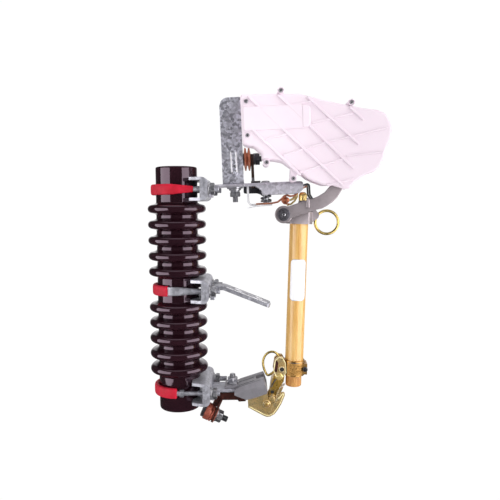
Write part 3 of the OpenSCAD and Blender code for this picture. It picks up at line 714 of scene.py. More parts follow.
def plated(name="zinc_plated"):
    """Bolts and nuts: clear zinc over steel, with painted shade in the corners and threads."""
    n = Nodes(name)
    col = n.mix(n.span(n.noise(330, 4, 0.6), 0.3, 0.7, 0, 1), (0.20, 0.20, 0.225), (0.50, 0.50, 0.53))
    # painted shade in the corners and threads
    col = n.mix(n.span(n.point(), 0.49, 0.42, 0, 0.85), col, (0.045, 0.042, 0.045))
    # edges painted bright: rubbed wear and painted highlight
    col = n.mix(n.span(n.point(), 0.52, 0.6, 0, 0.6), col, (0.78, 0.78, 0.80))
    n.set(Base_Color=col, Roughness=n.span(n.noise(700, 4), 0.3, 0.7, 0.26, 0.46))
    n.b.inputs["Metallic"].default_value = 0.9
    n.bump(n.noise(1200, 3, 0.6), 0.15, 0.0002)
    return n.m


def chromate(name="yellow_chromate", tone=(0.61, 0.365, 0.065)):
    """Yellow passivated zinc: gold with green and rose drifts."""
    n = Nodes(name)
    drift = n.noise(75, 4, 0.6, 1.2)
    col = n.ramp(drift, (0.25, (0.24, 0.145, 0.026)), (0.42, (0.42, 0.260, 0.048)), (0.55, tone), (0.68, (0.62, 0.33, 0.075)), (0.85, (0.46, 0.30, 0.070)))
    col = n.mix(n.span(n.noise(230, 4, 0.65), 0.55, 0.75, 0, 0.62), col, (0.24, 0.14, 0.055))
    # edges painted bright: rubbed wear and painted highlight
    col = n.mix(n.span(n.point(), 0.515, 0.58, 0, 0.85), col, (0.98, 0.88, 0.60))
    # painted shade in the hollows, together with the darker chromate that gathers there
    col = n.mix(n.span(n.point(), 0.48, 0.40, 0, 0.8), col, (0.08, 0.038, 0.018))
    n.set(Base_Color=col, Roughness=n.span(n.noise(600, 4), 0.3, 0.7, 0.24, 0.42))
    n.b.inputs["Metallic"].default_value = 0.7
    n.bump(n.math("ADD", n.noise(260, 4, 0.6), n.math("MULTIPLY", n.noise(900, 3, 0.6), 0.3)), 0.42, 0.0007)
    return n.m


def brass(name="machined_brass", tone=(0.78, 0.56, 0.20), rough=(0.2, 0.36), dark=(0.20, 0.10, 0.03), metal=0.95):
    n = Nodes(name)
    col = n.mix(n.span(n.noise(180, 4, 0.6), 0.3, 0.75, 0, 1), tuple(c * 0.8 for c in tone), tone)
    col = n.mix(n.span(n.noise(60, 3, 0.6), 0.58, 0.75, 0, 0.5), col, dark)
    # painted shade in the hollows
    col = n.mix(n.span(n.point(), 0.48, 0.41, 0, 0.7), col, dark)
    n.set(Base_Color=col, Roughness=n.span(n.noise(700, 4), 0.3, 0.7, *rough))
    n.b.inputs["Metallic"].default_value = metal
    n.bump(n.noise(900, 4, 0.6), 0.12, 0.0002)
    return n.m


def winding():
    """Filament-wound glass fibre under golden varnish. The yarns cross at a steep helix."""
    n = Nodes("wound_fibreglass")
    p = n.sep(n.mapping((1, 1, 1), rot=(0, math.radians(-2.1), 0), loc=(0, 0, 0), src=n.obj))
    # angle round the tube's axis, in its own frame
    x = n.math("SUBTRACT", p[0], TUBE_X)
    ang = n.math("ARCTAN2", p[1], x)
    turns = n.math("DIVIDE", ang, 2 * math.pi)
    h = n.math("MULTIPLY", p[2], 1000 / 26.0)
    a = n.math("ADD", h, turns)
    b = n.math("SUBTRACT", h, turns)
    yarn = 12
    ya = n.math("ABSOLUTE", n.math("SINE", n.math("MULTIPLY", a, math.pi * yarn)))
    yb = n.math("ABSOLUTE", n.math("SINE", n.math("MULTIPLY", b, math.pi * yarn)))
    weave = n.math("MULTIPLY", ya, yb)
    stretch = n.noise(1.0, 4, 0.6, 0.4, src=n.mapping((260, 260, 22)))
    long = n.noise(1.0, 3, 0.6, 0.2, src=n.mapping((420, 420, 5)))
    col = n.ramp(n.math("ADD", n.math("MULTIPLY", stretch, 0.6), n.math("MULTIPLY", long, 0.4)),
                 (0.30, (0.58, 0.275, 0.065)), (0.5, (0.77, 0.455, 0.130)), (0.7, (0.85, 0.58, 0.215)))
    col = n.mix(n.span(weave, 0.0, 0.35, 0.30, 0), col, (0.55, 0.27, 0.07))
    n.set(Base_Color=col, Roughness=n.span(stretch, 0.3, 0.7, 0.24, 0.36))
    n.b.inputs["Subsurface Weight"].default_value = 0.08
    n.b.inputs["Subsurface Radius"].default_value = (0.003, 0.002, 0.001)
    n.b.inputs["Coat Weight"].default_value = 0.2
    n.b.inputs["Coat Roughness"].default_value = 0.2
    n.bump(n.math("ADD", n.math("MULTIPLY", weave, 0.5), n.math("MULTIPLY", long, 0.8)), 0.16, 0.0004)
    return n.m


def fibre():
    n = Nodes("vulcanised_fibre")
    grain = n.noise(1.0, 4, 0.6, 0.3, src=n.mapping((500, 500, 60)))
    col = n.ramp(grain, (0.3, (0.42, 0.17, 0.035)), (0.55, (0.60, 0.285, 0.070)), (0.75, (0.72, 0.39, 0.12)))
    n.set(Base_Color=col, Roughness=n.span(grain, 0.3, 0.7, 0.34, 0.5))
    n.b.inputs["Subsurface Weight"].default_value = 0.05
    n.bump(grain, 0.15, 0.0004)
    return n.m


def label_white():
    n = Nodes("blank_label")
    n.set(Base_Color=n.mix(n.span(n.noise(220, 3), 0.3, 0.7, 0, 1), (0.90, 0.91, 0.94), (0.95, 0.955, 0.97)), Roughness=n.span(n.noise(700, 3), 0.3, 0.7, 0.32, 0.44))
    n.bump(n.noise(160, 3, 0.6), 0.08, 0.0004)
    return n.m


def label_edge():
    n = Nodes("label_border")
    n.set(Base_Color=n.mix(n.span(n.noise(300, 3), 0.3, 0.7, 0, 1), (0.36, 0.42, 0.53), (0.46, 0.51, 0.60)), Roughness=n.span(n.noise(700, 3), 0.3, 0.7, 0.35, 0.5))
    return n.m


def oxide_bar():
    n = Nodes("red_brown_bar")
    patch = n.noise(140, 5, 0.65, 0.6)
    col = n.ramp(patch, (0.3, (0.030, 0.008, 0.006)), (0.55, (0.085, 0.020, 0.013)), (0.78, (0.17, 0.045, 0.028)))
    n.set(Base_Color=col, Roughness=n.span(n.noise(500, 4), 0.3, 0.7, 0.3, 0.55))
    n.b.inputs["Metallic"].default_value = 0.45
    n.bump(n.noise(600, 5, 0.7), 0.35, 0.0005)
    return n.m


# where the tube's axis sits once the tube's lean is taken out
_t = Matrix.Rotation(math.radians(-2.1), 4, "Y") @ (TUBE @ Vector((0, 0, 0)))
TUBE_X = _t.x

M = {}
M["glaze"] = glaze()
M["clay"] = bare_clay()
M["zinc"] = zinc("hot_dip_zinc")
M["zinc_plate"] = zinc("zinc_spangle", tone=(0.46, 0.46, 0.52), spangle=300, contrast=0.75, darkening=0.85, metal=0.4, fine=1.7)
M["zinc_dark"] = zinc("hot_dip_zinc_dull", tone=(0.40, 0.40, 0.445), spangle=300, rough=(0.36, 0.56), contrast=0.3, metal=0.5)
M["zinc_channel"] = zinc("hot_dip_zinc_channel", tone=(0.50, 0.485, 0.54), spangle=260, rough=(0.34, 0.54), contrast=0.3, metal=0.45)
M["vinyl"] = vinyl()
M["plated"] = plated()
M["chute"] = chute_plastic()
M["black"] = black_steel()
M["dark_nut"] = black_steel("dark_nut", (0.035, 0.037, 0.042), (0.26, 0.42))
M["copper"] = copper()
M["red_copper"] = red_copper()
M["jaw_copper"] = copper("jaw_copper", 0.45)
M["bright"] = bright_steel()
M["cast"] = cast("grey_casting", (0.30, 0.29, 0.315))
M["lever"] = cast("lever_casting", (0.31, 0.272, 0.285), rough=(0.34, 0.5), metal=0.7, grain=1100, depth=0.2)
M["gold"] = chromate()
M["ring_brass"] = brass("ring_brass", (0.66, 0.49, 0.16), (0.22, 0.38), (0.16, 0.10, 0.03))
M["cap_brass"] = brass("cap_brass", (0.95, 0.70, 0.26), (0.24, 0.36), (0.50, 0.30, 0.09), 0.6)
M["pit"] = brass("deep_shadow", (0.012, 0.011, 0.011), (0.6, 0.75), (0.004, 0.004, 0.004), 0.0)
# pale brass used for painted highlight lines along edges
M["painted_highlight_brass"] = brass("painted_highlight_brass", (0.98, 0.86, 0.46), (0.24, 0.38), (0.62, 0.42, 0.14), 0.12)
M["bronze"] = brass("cast_bronze", (0.50, 0.28, 0.085), (0.28, 0.46), (0.09, 0.038, 0.012))
M["tube"] = winding()
M["fibre"] = fibre()
M["label"] = label_white()
M["label_edge"] = label_edge()
M["bar"] = oxide_bar()
M["bar_dark"] = black_steel("dark_terminal_pad", (0.050, 0.026, 0.020), (0.34, 0.52))
M["screw"] = black_steel("screw_steel", (0.30, 0.29, 0.31), (0.3, 0.46))
M["hub"] = black_steel("hub_grey", (0.058, 0.054, 0.064), (0.36, 0.5))
M["spring"] = bright_steel("spring_wire", (0.15, 0.15, 0.165), (0.24, 0.4), 0.85)
# pale steel for the spring strips, also used for painted highlight rims and lines
M["white_strip"] = bright_steel("pale_spring_strip_and_painted_highlight", (0.88, 0.88, 0.90), (0.3, 0.45), 0.25)


# ---------------------------------------------------------------- insulator
def insulator():
    bm = bmesh.new()
    shed = [(29.5, 9.5), (29.62, 8.95), (29.95, 8.4), (30.5, 7.95), (31.4, 7.5), (32.5, 7.05), (33.7, 6.6), (34.9, 6.2)]
    tip = [(35.5 + 6 * math.cos(math.radians(a)), 6 * math.sin(math.radians(a))) for a in range(84, 0, -14)]
    half = shed + tip
    one = [(r, -h) for r, h in half] + [(41.5, 0)] + [(r, h) for r, h in reversed(half)]
    prof = [(8, 0.9), (21, 0.6), (24.4, 0.0), (26.2, 0.0), (27.8, 0.6), (28.9, 1.7), (29.4, 3.2), (29.5, 5)]
    prof += [(29.5, 6.2), (29.5, 49.2)]
    for z in [148.8 - i * 22.2 for i in range(4, -1, -1)]:
        prof += [(r, z + h) for r, h in one]
    prof += [(29.5, 159.6), (29.5, 189.1)]
    for z in [288.7 - i * 22.2 for i in range(4, -1, -1)]:
        prof += [(r, z + h) for r, h in one]
    prof += [(29.5, 299.5), (29.5, 344.1), (29.5, 345.3), (29.36, 346.2), (28.9, 346.95), (28.2, 347.38), (27.2, 347.5), (24, 347.5), (21, 346.9), (8, 346.6)]
    revolve(bm, prof, 112)
    finish_mesh(bm, "Insulator", BASE, ROOT, M["glaze"], ["insulator"], smooth=50)


# ---------------------------------------------------------------- clamps
CLAMPS = [(315.5, 24, 8.0, 27), (174.5, 26, 8.0, -8), (30, 4, 5.5, 0)]


def clamp_path(x_end, z, step=5):
    """Centre line of a band from its near rod end round the back of the porcelain: (x, y) points."""
    pts = []
    x = x_end
    xs = []
    while x > 0:
        xs.append(x)
        x -= 2.0
    pts = [(x, -33.4) for x in xs]
    n = 30
    for i in range(n + 1):
        a = math.radians(-90 - 180 * i / n)
        pts.append((33.3 * math.cos(a), 33.3 * math.sin(a)))
    pts += [(x, 33.4) for x in reversed(xs)]
    return pts


def band_loft(bm, pts, z, size, n=20):
    """size(x, y) gives half thickness, half height and how square the section is."""
    rings = []
    m = len(pts)
    for i, (x, y) in enumerate(pts):
        a, b = pts[max(i - 1, 0)], pts[min(i + 1, m - 1)]
        d = Vector((b[0] - a[0], b[1] - a[1])).normalized()
        nn = Vector((-d.y, d.x))
        ht, hh, sq = size(x, y, i)
        ring = []
        for k in range(n):
            t = 2 * math.pi * k / n
            c, s = math.cos(t), math.sin(t)
            e = 2 / sq
            u = math.copysign(abs(c) ** e, c) * ht
            v = math.copysign(abs(s) ** e, s) * hh
            ring.append(bm.verts.new((x + nn.x * u, y + nn.y * u, z + v)))
        rings.append(ring)
    for a, b in zip(rings, rings[1:]):
        bridge(bm, a, b)
    bm.faces.new(rings[0])
    bm.faces.new(rings[-1])


def clamps():
    bm = bmesh.new()
    for z, flat, rod, _ in CLAMPS:
        x_end = 46.0

        def size(x, y, i, flat=flat, rod=rod):
            # flat round the porcelain, drawn down to a round rod towards its ends
            lo = -18 if flat == 4 else -2
            k = max(0, min(1, (x - lo) / (flat + 6 - lo)))
            k = k * k * (3 - 2 * k)
            if flat == 24:
                # the top one narrows first, and thickens only past its sleeve
                j = max(0, min(1, (x - 22) / 14))
                j = j * j * (3 - 2 * j)
                h = max(0, min(1, (x + 2) / 22))
                h = h * h * (3 - 2 * h)
                return 1.5 + 2.5 * j, 6 - 2.4 * h + 0.4 * j, 5 - 3 * k
            return 1.5 + (rod / 2 - 1.5) * k, 6 + (rod / 2 - 6) * k, 5 - 3 * k

        band_loft(bm, clamp_path(x_end, z), z, size)
        for s in (-1, 1):
            far = 62 if z > 60 else (67 if s > 0 else 60)
            thread(bm, (0, s * 33.5, z), "X", 33 if z > 60 else 29, far, 8.0, pitch=1.25, n=24, depth=0.55)
            if z < 60:
                hex_nut(bm, (0, s * 33.5, z), "X", 3.5, 6, 9.2, 0, turn=0.3)
    finish_mesh(bm, "Clamp_bands", BASE, ROOT, M["zinc"], ["clamp_bands"], smooth=40)

    bm = bmesh.new()
    for z, flat, rod, end in CLAMPS:
        full = clamp_path(60, z)
        pts = [p for p in full if p[0] <= (end if end else 0.3)]
        # the ends are exactly on the cut
        x0 = end if end else 0
        if x0 > 0:
            pts = [(x0, -33.4)] + [p for p in pts if p[0] < x0 - 0.6] + [(x0, 33.4)]
        dist = [0]
        for a, b in zip(pts, pts[1:]):
            dist.append(dist[-1] + math.hypot(b[0] - a[0], b[1] - a[1]))
        total = dist[-1]
        # a few more rings at the ends, for a rounded lip
        def put(d):
            for i in range(len(dist) - 1):
                if dist[i + 1] >= d:
                    f = (d - dist[i]) / max(1e-9, dist[i + 1] - dist[i])
                    return (pts[i][0] + f * (pts[i + 1][0] - pts[i][0]), pts[i][1] + f * (pts[i + 1][1] - pts[i][1]))
            return pts[-1]
        ds = [0, 0.25, 0.8, 1.6] + [3 + (total - 6) * i / 54 for i in range(55)] + [total - 1.6, total - 0.8, total - 0.25, total]
        dense = [put(d) for d in ds]

        def size(x, y, i, ds=ds, total=total, flat=flat, end=end):
            lo = -6 if end > 0 else 90
            k = max(0, min(1, (x - lo) / (30 - lo))) if end > 0 else 0
            e = min(ds[i], total - ds[i])
            lip = {0: 0.62, 1: 0.8, 2: 0.93, 3: 1.0}.get(min(i, len(ds) - 1 - i), 1.0)
            ripple = 1 + 0.012 * math.sin(x * 1.9 + y * 0.8) + 0.01 * math.sin(y * 2.7)
            return (3.3 - 0.2 * k) * (0.35 + 0.65 * lip) * ripple, (7.4 - 3.4 * k) * lip * ripple, 3.6 - 1.0 * k

        band_loft(bm, dense, z, size, n=28)
    finish_mesh(bm, "Band_sleeves", BASE, ROOT, M["vinyl"], ["band_sleeves"], smooth=60)

    bm = bmesh.new()
    for j, (z, flat, rod, _) in enumerate(CLAMPS):
        for s in (-1, 1):
            turn = {0: 0.2, 1: 0.45, 2: 0.1}[j] * (1 if s > 0 else 2.1)
            washer(bm, (0, s * 33.5, z), "X", 47.02, 1.6, 18, 8.1)
            # a split spring washer under the nut
            washer(bm, (0, s * 33.5, z), "X", 48.65, 1.9, 13.4, 8.1)
            hex_nut(bm, (0, s * 33.5, z), "X", 50.6, 5.6, 14.5, 8.06, turn=turn)
    finish_mesh(bm, "Clamp_nuts", BASE, ROOT, M["plated"], ["clamp_nuts"], smooth=30)


def saddles():
    t = 4
    for node, z in (("top_saddle", 315.5), ("middle_saddle", 174.5), ("bottom_saddle", 30)):
        bm = bmesh.new()
        path = fillet([(12, 14), (45, 14), (45, -14), (12, -14)], [0, 7.2, 7.2, 0], 7, closed=False)
        up, down = ribbon(path, t)
        prism_y(bm, up + down[::-1], -44, 44)
        # plan outline: keep only what lies inside it
        keep = bmesh.new()
        out = fillet([(60, -44), (60, 44), (37, 44), (21, 37.5), (21, -37.5), (37, -44)], [0, 0, 9, 3, 3, 9], 5)
        a = ring_verts(keep, [(x, y, -30) for x, y in out])
        b = ring_verts(keep, [(x, y, 30) for x, y in out])
        bridge(keep, a, b)
        keep.faces.new(a)
        keep.faces.new(b)
        bmesh.ops.recalc_face_normals(bm, faces=bm.faces)
        mesh = bpy.data.meshes.new("work")
        bm.to_mesh(mesh)
        bm.free()
        o = bpy.data.objects.new("work", mesh)
        bpy.context.scene.collection.objects.link(o)
        cut_with(o, [keep], "INTERSECT")
        cheeks = []
        for s in (-1, 1):
            c = bmesh.new()
            prism_y(c, fillet([(36.5, 15), (45.6, 15), (45.6, -15), (36.5, -15)], [0, 6, 6, 0], 6), *((41.2, 43.7) if s > 0 else (-43.7, -41.2)))
            cheeks.append(c)
        cut_with(o, cheeks, "UNION")
        cut_with(o, [cyl_z(0, 0, 59.6, -40, 40, 96)] + [cyl_x(s * 33.5, 0, 9, 30, 60, 32) for s in (-1, 1)])
        out = bmesh.new()
        out.from_mesh(o.data)
        bpy.data.objects.remove(o)
        bmesh.ops.remove_doubles(out, verts=out.verts, dist=1e-4)
        bmesh.ops.dissolve_limit(out, angle_limit=math.radians(0.5), verts=out.verts, edges=out.edges)
        bmesh.ops.translate(out, verts=out.verts, vec=(0, 0, z))
        finish_mesh(out, node.replace("_", " ").capitalize().replace(" ", "_"), BASE, ROOT, M["zinc_dark"], [node], smooth=32, bevel=0.7, seg=2, limit=40)


def strap():
    root = 176
    end = (66 + 71 * math.cos(SL), root - 71 * math.sin(SL))
    path = fillet([(50, root - 17), (50, root), (66, root), end], [0, 6.5, 14, 0], 7, closed=False)
    up, down = ribbon(path, 6)
    bm = bmesh.new()
    prism_y(bm, up + down[::-1], -15, 15)
    # round the two corners of the free end
    cutters = []
    dx, dz = math.cos(SL), -math.sin(SL)
    for s in (-1, 1):
        c = bmesh.new()
        r = 5.5
        pts = [(r, 0)]
        arc = [(r - r * math.sin(math.radians(a)) - 0, r - r * math.cos(math.radians(a))) for a in range(0, 91, 15)]
        # corner piece in (back from the end, in from the side)
        prof = [(-3, -3), (r, -3)] + [(r - r * math.sin(math.radians(a)), r - r * math.cos(math.radians(a))) for a in range(0, 91, 15)] + [(-3, r)]
        lo, hi = [], []
        for u, v in prof:
            x, z = end[0] - dx * u, end[1] - dz * u
            y = s * (15 - v)
            lo.append((x + dz * 10, y, z - dx * 10))
            hi.append((x - dz * 10, y, z + dx * 10))
        a, b = ring_verts(c, lo), ring_verts(c, hi)
        bridge(c, a, b)
        c.faces.new(a)
        c.faces.new(b)
        cutters.append(c)
    for s in (-1, 1):
        u = 37 + s * 16
        c = bmesh.new()
        x, z = 66 + dx * u, root + dz * u
        n = 48
        m = Matrix.Translation((x, 0, z)) @ turn_y(22)
        a = ring_verts(c, [m @ Vector((5 * math.cos(2 * math.pi * k / n), 5 * math.sin(2 * math.pi * k / n), -9)) for k in range(n)])
        b = ring_verts(c, [m @ Vector((5 * math.cos(2 * math.pi * k / n), 5 * math.sin(2 * math.pi * k / n), 9)) for k in range(n)])
        bridge(c, a, b)
        c.faces.new(a)
        c.faces.new(b)
        cutters.append(c)
    out = solid_mm(bm, cutters)
    finish_mesh(out, "Mounting_strap", BASE, ROOT, M["zinc"], ["mounting_strap"], smooth=32, bevel=0.8, seg=3, limit=40)
    # painted highlight rings round the two holes
    bm = bmesh.new()
    for s in (-1, 1):
        u = 37 + s * 16
        x, z = 66 + dx * u, root + dz * u
        m = Matrix.Translation((x, 0, z)) @ turn_y(22)
        part = bmesh.new()
        closed_revolve(part, [(4.9, -2.9), (5.1, -2.9), (5.1, 2.96), (5.9, 2.96), (5.75, 3.3), (5.3, 3.4), (4.9, 3.1)], 48)
        for v in part.verts:
            v.co = m @ v.co
        me = bpy.data.meshes.new("h")
        part.to_mesh(me)
        part.free()
        bm.from_mesh(me)
        bpy.data.meshes.remove(me)
    # and a painted highlight line along its near upper edge
    pipe(bm, [(66 + dx * u - dz * 2.75, -14.6, root + dz * u + dx * 2.75) for u in (3, 20, 45, 65)], 0.55, 8)
    finish_mesh(bm, "Strap_painted_highlights", BASE, ROOT, M["white_strip"], [], smooth=40)


# ---------------------------------------------------------------- top bracket
def channel():
    # U section, extruded along x, then trimmed to the side view
    sec = fillet([(-12.5, -25), (-12.5, -1.5), (12.5, -1.5), (12.5, -25)], [0, 3.6, 3.6, 0], 6, closed=False)
    up, down = ribbon(sec, 3.0)
    loop = up + down[::-1]
    bm = bmesh.new()
    a = ring_verts(bm, [(-7.9, y, z + 0.5) for y, z in loop])
    b = ring_verts(bm, [(126, y, z + 0.5) for y, z in loop])
    bridge(bm, a, b)
    bm.faces.new(a)
    bm.faces.new(b)
    foot = bmesh.new()
    prism_y(foot, [(-7.9, 0.0), (-7.9, -17), (-3.9, -17), (-3.9, 0.0)], -13.9, 13.9)
    web = bmesh.new()
    prism_y(web, [(-7.9, 0.5), (-7.9, -3.5), (124, -3.5), (124, 0.5)], -11.5, 11.5)
    side = bmesh.new()
    out = fillet([(-7.9, 0.5), (-7.9, -17), (-3.9, -17), (-3.9, -3.5), (44, -3.5), (56, -4), (61.5, -7), (65.4, -11), (66, -16.5), (117.5, -16.5), (124, -11), (124, 0.5)], [3, 0, 0, 3, 4, 4, 4, 4, 1.5, 5, 6, 4.5], 6)
    prism_y(side, out, -20, 20)
    bmesh.ops.recalc_face_normals(bm, faces=bm.faces)
    mesh = bpy.data.meshes.new("work")
    bm.to_mesh(mesh)
    bm.free()
    o = bpy.data.objects.new("work", mesh)
    bpy.context.scene.collection.objects.link(o)
    cut_with(o, [web, foot], "UNION")
    cut_with(o, [side], "INTERSECT")
    cut_with(o, [cyl_z(27.7, 8, 9, -20, 20), cyl_z(71.6, 0, 8.2, -20, 20), cyl_z(54.3, 0, 6.1, -20, 20)])
    res = bmesh.new()
    res.from_mesh(o.data)
    bpy.data.objects.remove(o)
    bmesh.ops.remove_doubles(res, verts=res.verts, dist=1e-4)
    bmesh.ops.dissolve_limit(res, angle_limit=math.radians(0.5), verts=res.verts, edges=res.edges)
    finish_mesh(res, "Top_channel", TOP, ROOT, M["zinc_channel"], ["top_channel"], smooth=32, bevel=0.5, seg=2, limit=40)
    # the far flange reaches further towards the porcelain; this piece is painted black as the shade on its inner face
    bm = bmesh.new()
    prism_y(bm, fillet([(40, -3.2), (67, -3.2), (67, -16.4), (59, -13.5), (40, -13)], [0, 0, 0, 3, 2.5], 4), 11.2, 13.8)
    finish_mesh(bm, "Channel_lip_shade", TOP, ROOT, M["black"], ["top_channel"], smooth=32, bevel=0.4, seg=2, limit=40)


def upright_plate():
    y0 = -5.5
    out = fillet([(11.2, 0.5), (11.2, 121.5), (41.2, 121.5), (41.2, 0.5)], [0, 17, 2, 0], 10)
    bm = bmesh.new()
    prism_y(bm, out, y0, y0 + 4)
    foot = bmesh.new()
    # the foot turned back over the channel
    loop = fillet([(y0, 6), (y0, 0.5), (18.5, 0.5), (18.5, 4.5), (y0 + 4, 4.5), (y0 + 4, 6)], [0, 5.5, 1, 1, 2, 0], 6)
    a = ring_verts(foot, [(11.2, y, z) for y, z in loop])
    b = ring_verts(foot, [(41.2, y, z) for y, z in loop])
    bridge(foot, a, b)
    foot.faces.new(a)
    foot.faces.new(b)
    low = box_bm(0, 60, -20, 5, -5, 5.9)
    res = solid_mm(bm, [low])
    tmp = bpy.data.meshes.new("t")
    bmesh.ops.recalc_face_normals(foot, faces=foot.faces)
    res = solid_mm(res, unions=[foot])
    res = solid_mm(res, [cyl_z(27.7, 8, 9, -10, 20)])
    bpy.data.meshes.remove(tmp)
    # pressed rib with sloping sides and round ends
    rings = []
    n = 40
    for dy, r in ((0.4, 5.3), (0, 5.1), (-0.5, 4.75), (-1.5, 4.3), (-1.9, 3.9), (-2.0, 3.5), (-1.8, 3.1), (-1.1, 2.5), (-0.7, 1.9), (-0.55, 0.8)):
        ring = []
        for k in range(n):
            t = 2 * math.pi * k / n
            c, s = math.cos(t), math.sin(t)
            ring.append(res.verts.new((28.2 + r * c, y0 + dy, (46 if s >= 0 else 16) + r * s)))
        rings.append(ring)
    for a, b in zip(rings, rings[1:]):
        bridge(res, a, b)
    res.faces.new(rings[0])
    res.faces.new(rings[-1])
    finish_mesh(res, "Chute_plate", TOP, ROOT, M["zinc_plate"], ["chute_plate"], smooth=32, bevel=0.5, seg=2, limit=50)
    # its two flanks carry a painted highlight
    bm = bmesh.new()
    for s in (-1, 1):
        cut = [(28.2 + s * 5.0, y0 - 0.15), (28.2 + s * 4.3, y0 - 1.62), (28.2 + s * 3.5, y0 - 2.12), (28.2 + s * 2.7, y0 - 1.55), (28.2 + s * 3.4, y0 - 0.8)]
        lo = ring_verts(bm, [(x, y, 17) for x, y in cut])
        hi = ring_verts(bm, [(x, y, 45) for x, y in cut])
        bridge(bm, lo, hi)
        bm.faces.new(lo)
        bm.faces.new(hi)
    finish_mesh(bm, "Plate_rib_flank_highlights", TOP, ROOT, M["white_strip"], [], smooth=50)

    bm = bmesh.new()
    o = (27.7, 8, 0)
    # round head over the plate, washer and nut below the channel
    turned(bm, o, "Z", [(-3, 3.9), (4.5, 3.9), (4.5, 8.0), (5.0, 8.0), (6.4, 7.4), (7.6, 6.0), (8.4, 3.4), (8.6, 0.4)])
    thread(bm, o, "Z", -25, -2, 8, 1.25)
    washer(bm, o, "Z", -8.0, 2.2, 17.5, 8)
    washer(bm, o, "Z", -10.2, 2.1, 13.5, 8)
    hex_nut(bm, o, "Z", -17.2, 6.8, 13, 8.0, turn=0.35)
    washer(bm, o, "Z", -5.7, 2.1, 23, 8.1)
    finish_mesh(bm, "Plate_bolt", TOP, ROOT, M["plated"], ["plate_bolt"], smooth=30)


# ---------------------------------------------------------------- arc chute
CHUTE = [(41, 118.3), (91, 116.8), (122, 115.4), (138, 110.7), (156, 105.2), (183, 98.3), (205, 93.2), (225.5, 90), (236, 84.6), (240.8, 76),
         (243.6, 67.5), (243.6, 59.5), (240.8, 48), (234.8, 34.5), (232, 24.5), (226, 13.2), (217, 6.6), (206, 3.4), (199, -0.3), (191.5, -6.4), (183.5, -14.2), (176.5, -14.2),
         (158, -8), (149, -8), (134, -2), (127, 2), (120, 8), (107, 17), (95, 26), (83, 29), (67, 30), (67, 38), (61, 44), (57, 48), (47, 50), (42, 53)]
SCREWS = [(96, 120.4), (190, 100.8), (49, 108), (49, 63), (73, 26), (108.5, 2.8)]
CY0, CYM, CY1 = -40.0, -23.0, -6.0


def offset_in(p, dist):
    """Each corner moved inwards, by one distance or by dist(i)."""
    n = len(p)
    out = []
    for i in range(n):
        a, b, c = Vector(p[i - 1]), Vector(p[i]), Vector(p[(i + 1) % n])
        u, v = (b - a).normalized(), (c - b).normalized()
        m = Vector((u.y + v.y, -u.x - v.x))
        k = max(0.35, 1 + u.dot(v))
        d = dist(i) if callable(dist) else dist
        q = b + m * d / k
        out.append((q.x, q.y))
    return out


def safe_inset(p, dist):
    """Moves each corner in, less where a short edge would turn round, eased over its neighbours."""
    n = len(p)
    mit = []
    for i in range(n):
        a, b, c = Vector(p[i - 1]), Vector(p[i]), Vector(p[(i + 1) % n])
        u, v = (b - a).normalized(), (c - b).normalized()
        mit.append(Vector((u.y + v.y, -u.x - v.x)) / max(0.35, 1 + u.dot(v)))
    lim = [dist] * n
    for i in range(n):
        j = (i + 1) % n
        e = Vector(p[j]) - Vector(p[i])
        shrink = (mit[i] - mit[j]).dot(e.normalized())
        if shrink > 1e-6:
            d = 0.8 * e.length / shrink
            lim[i], lim[j] = min(lim[i], d), min(lim[j], d)
    for k in range(4):
        lim = [min(lim[i], (lim[i - 1] + 2 * lim[i] + lim[(i + 1) % n]) / 4) for i in range(n)]
    return [(p[i][0] + mit[i].x * lim[i], p[i][1] + mit[i].y * lim[i]) for i in range(n)]


def screw_end(i):
    return -15.5 if i == 5 else CY1 - 0.3


def bar_soft(bm, a, b, w, y0, y1, top=0.45):
    """A moulded rib with draft: wide at its root y0, narrow and rounded at y1."""
    a, b = Vector(a), Vector(b)
    d = (b - a).normalized()
    s = Vector((-d.y, d.x))
    rings = []
    for f, k in ((0.0, 1.35), (0.25, 1.1), (0.75, 0.92), (0.93, 0.75), (1.0, top)):
        y = y0 + (y1 - y0) * f
        h = w / 2 * k
        ring = []
        for c, e in ((a, -1), (b, 1)):
            for t in range(7):
                ang = math.pi / 2 - math.pi * t / 6
                q = c + s * (math.sin(ang) * e * h) * -1 + d * (math.cos(ang) * e * h)
                ring.append(bm.verts.new((q.x, y, q.y)))
        rings.append(ring)
    for r0, r1 in zip(rings, rings[1:]):
        bridge(bm, r0, r1)
    bm.faces.new(rings[0])
    bm.faces.new(rings[-1])


def pad_soft(bm, outline, y0, y1, slope=1.6, r=4):
    """A raised panel with a sloping, rounded border."""
    out = fillet(outline, r, 5)
    rings = []
    for f, inset in ((0, -slope * 0.6), (0.3, 0), (0.75, slope * 0.3), (0.94, slope * 0.65), (1, slope * 1.2)):
        rings.append(ring_verts(bm, [(x, y0 + (y1 - y0) * f, z) for x, z in offset_in(out, -inset if area(out) > 0 else inset)]))
    for a, b in zip(rings, rings[1:]):
        bridge(bm, a, b)
    bm.faces.new(rings[0])
    bm.faces.new(rings[-1])


def area(p):
    return sum(p[i - 1][0] * p[i][1] - p[i][0] * p[i - 1][1] for i in range(len(p))) / 2


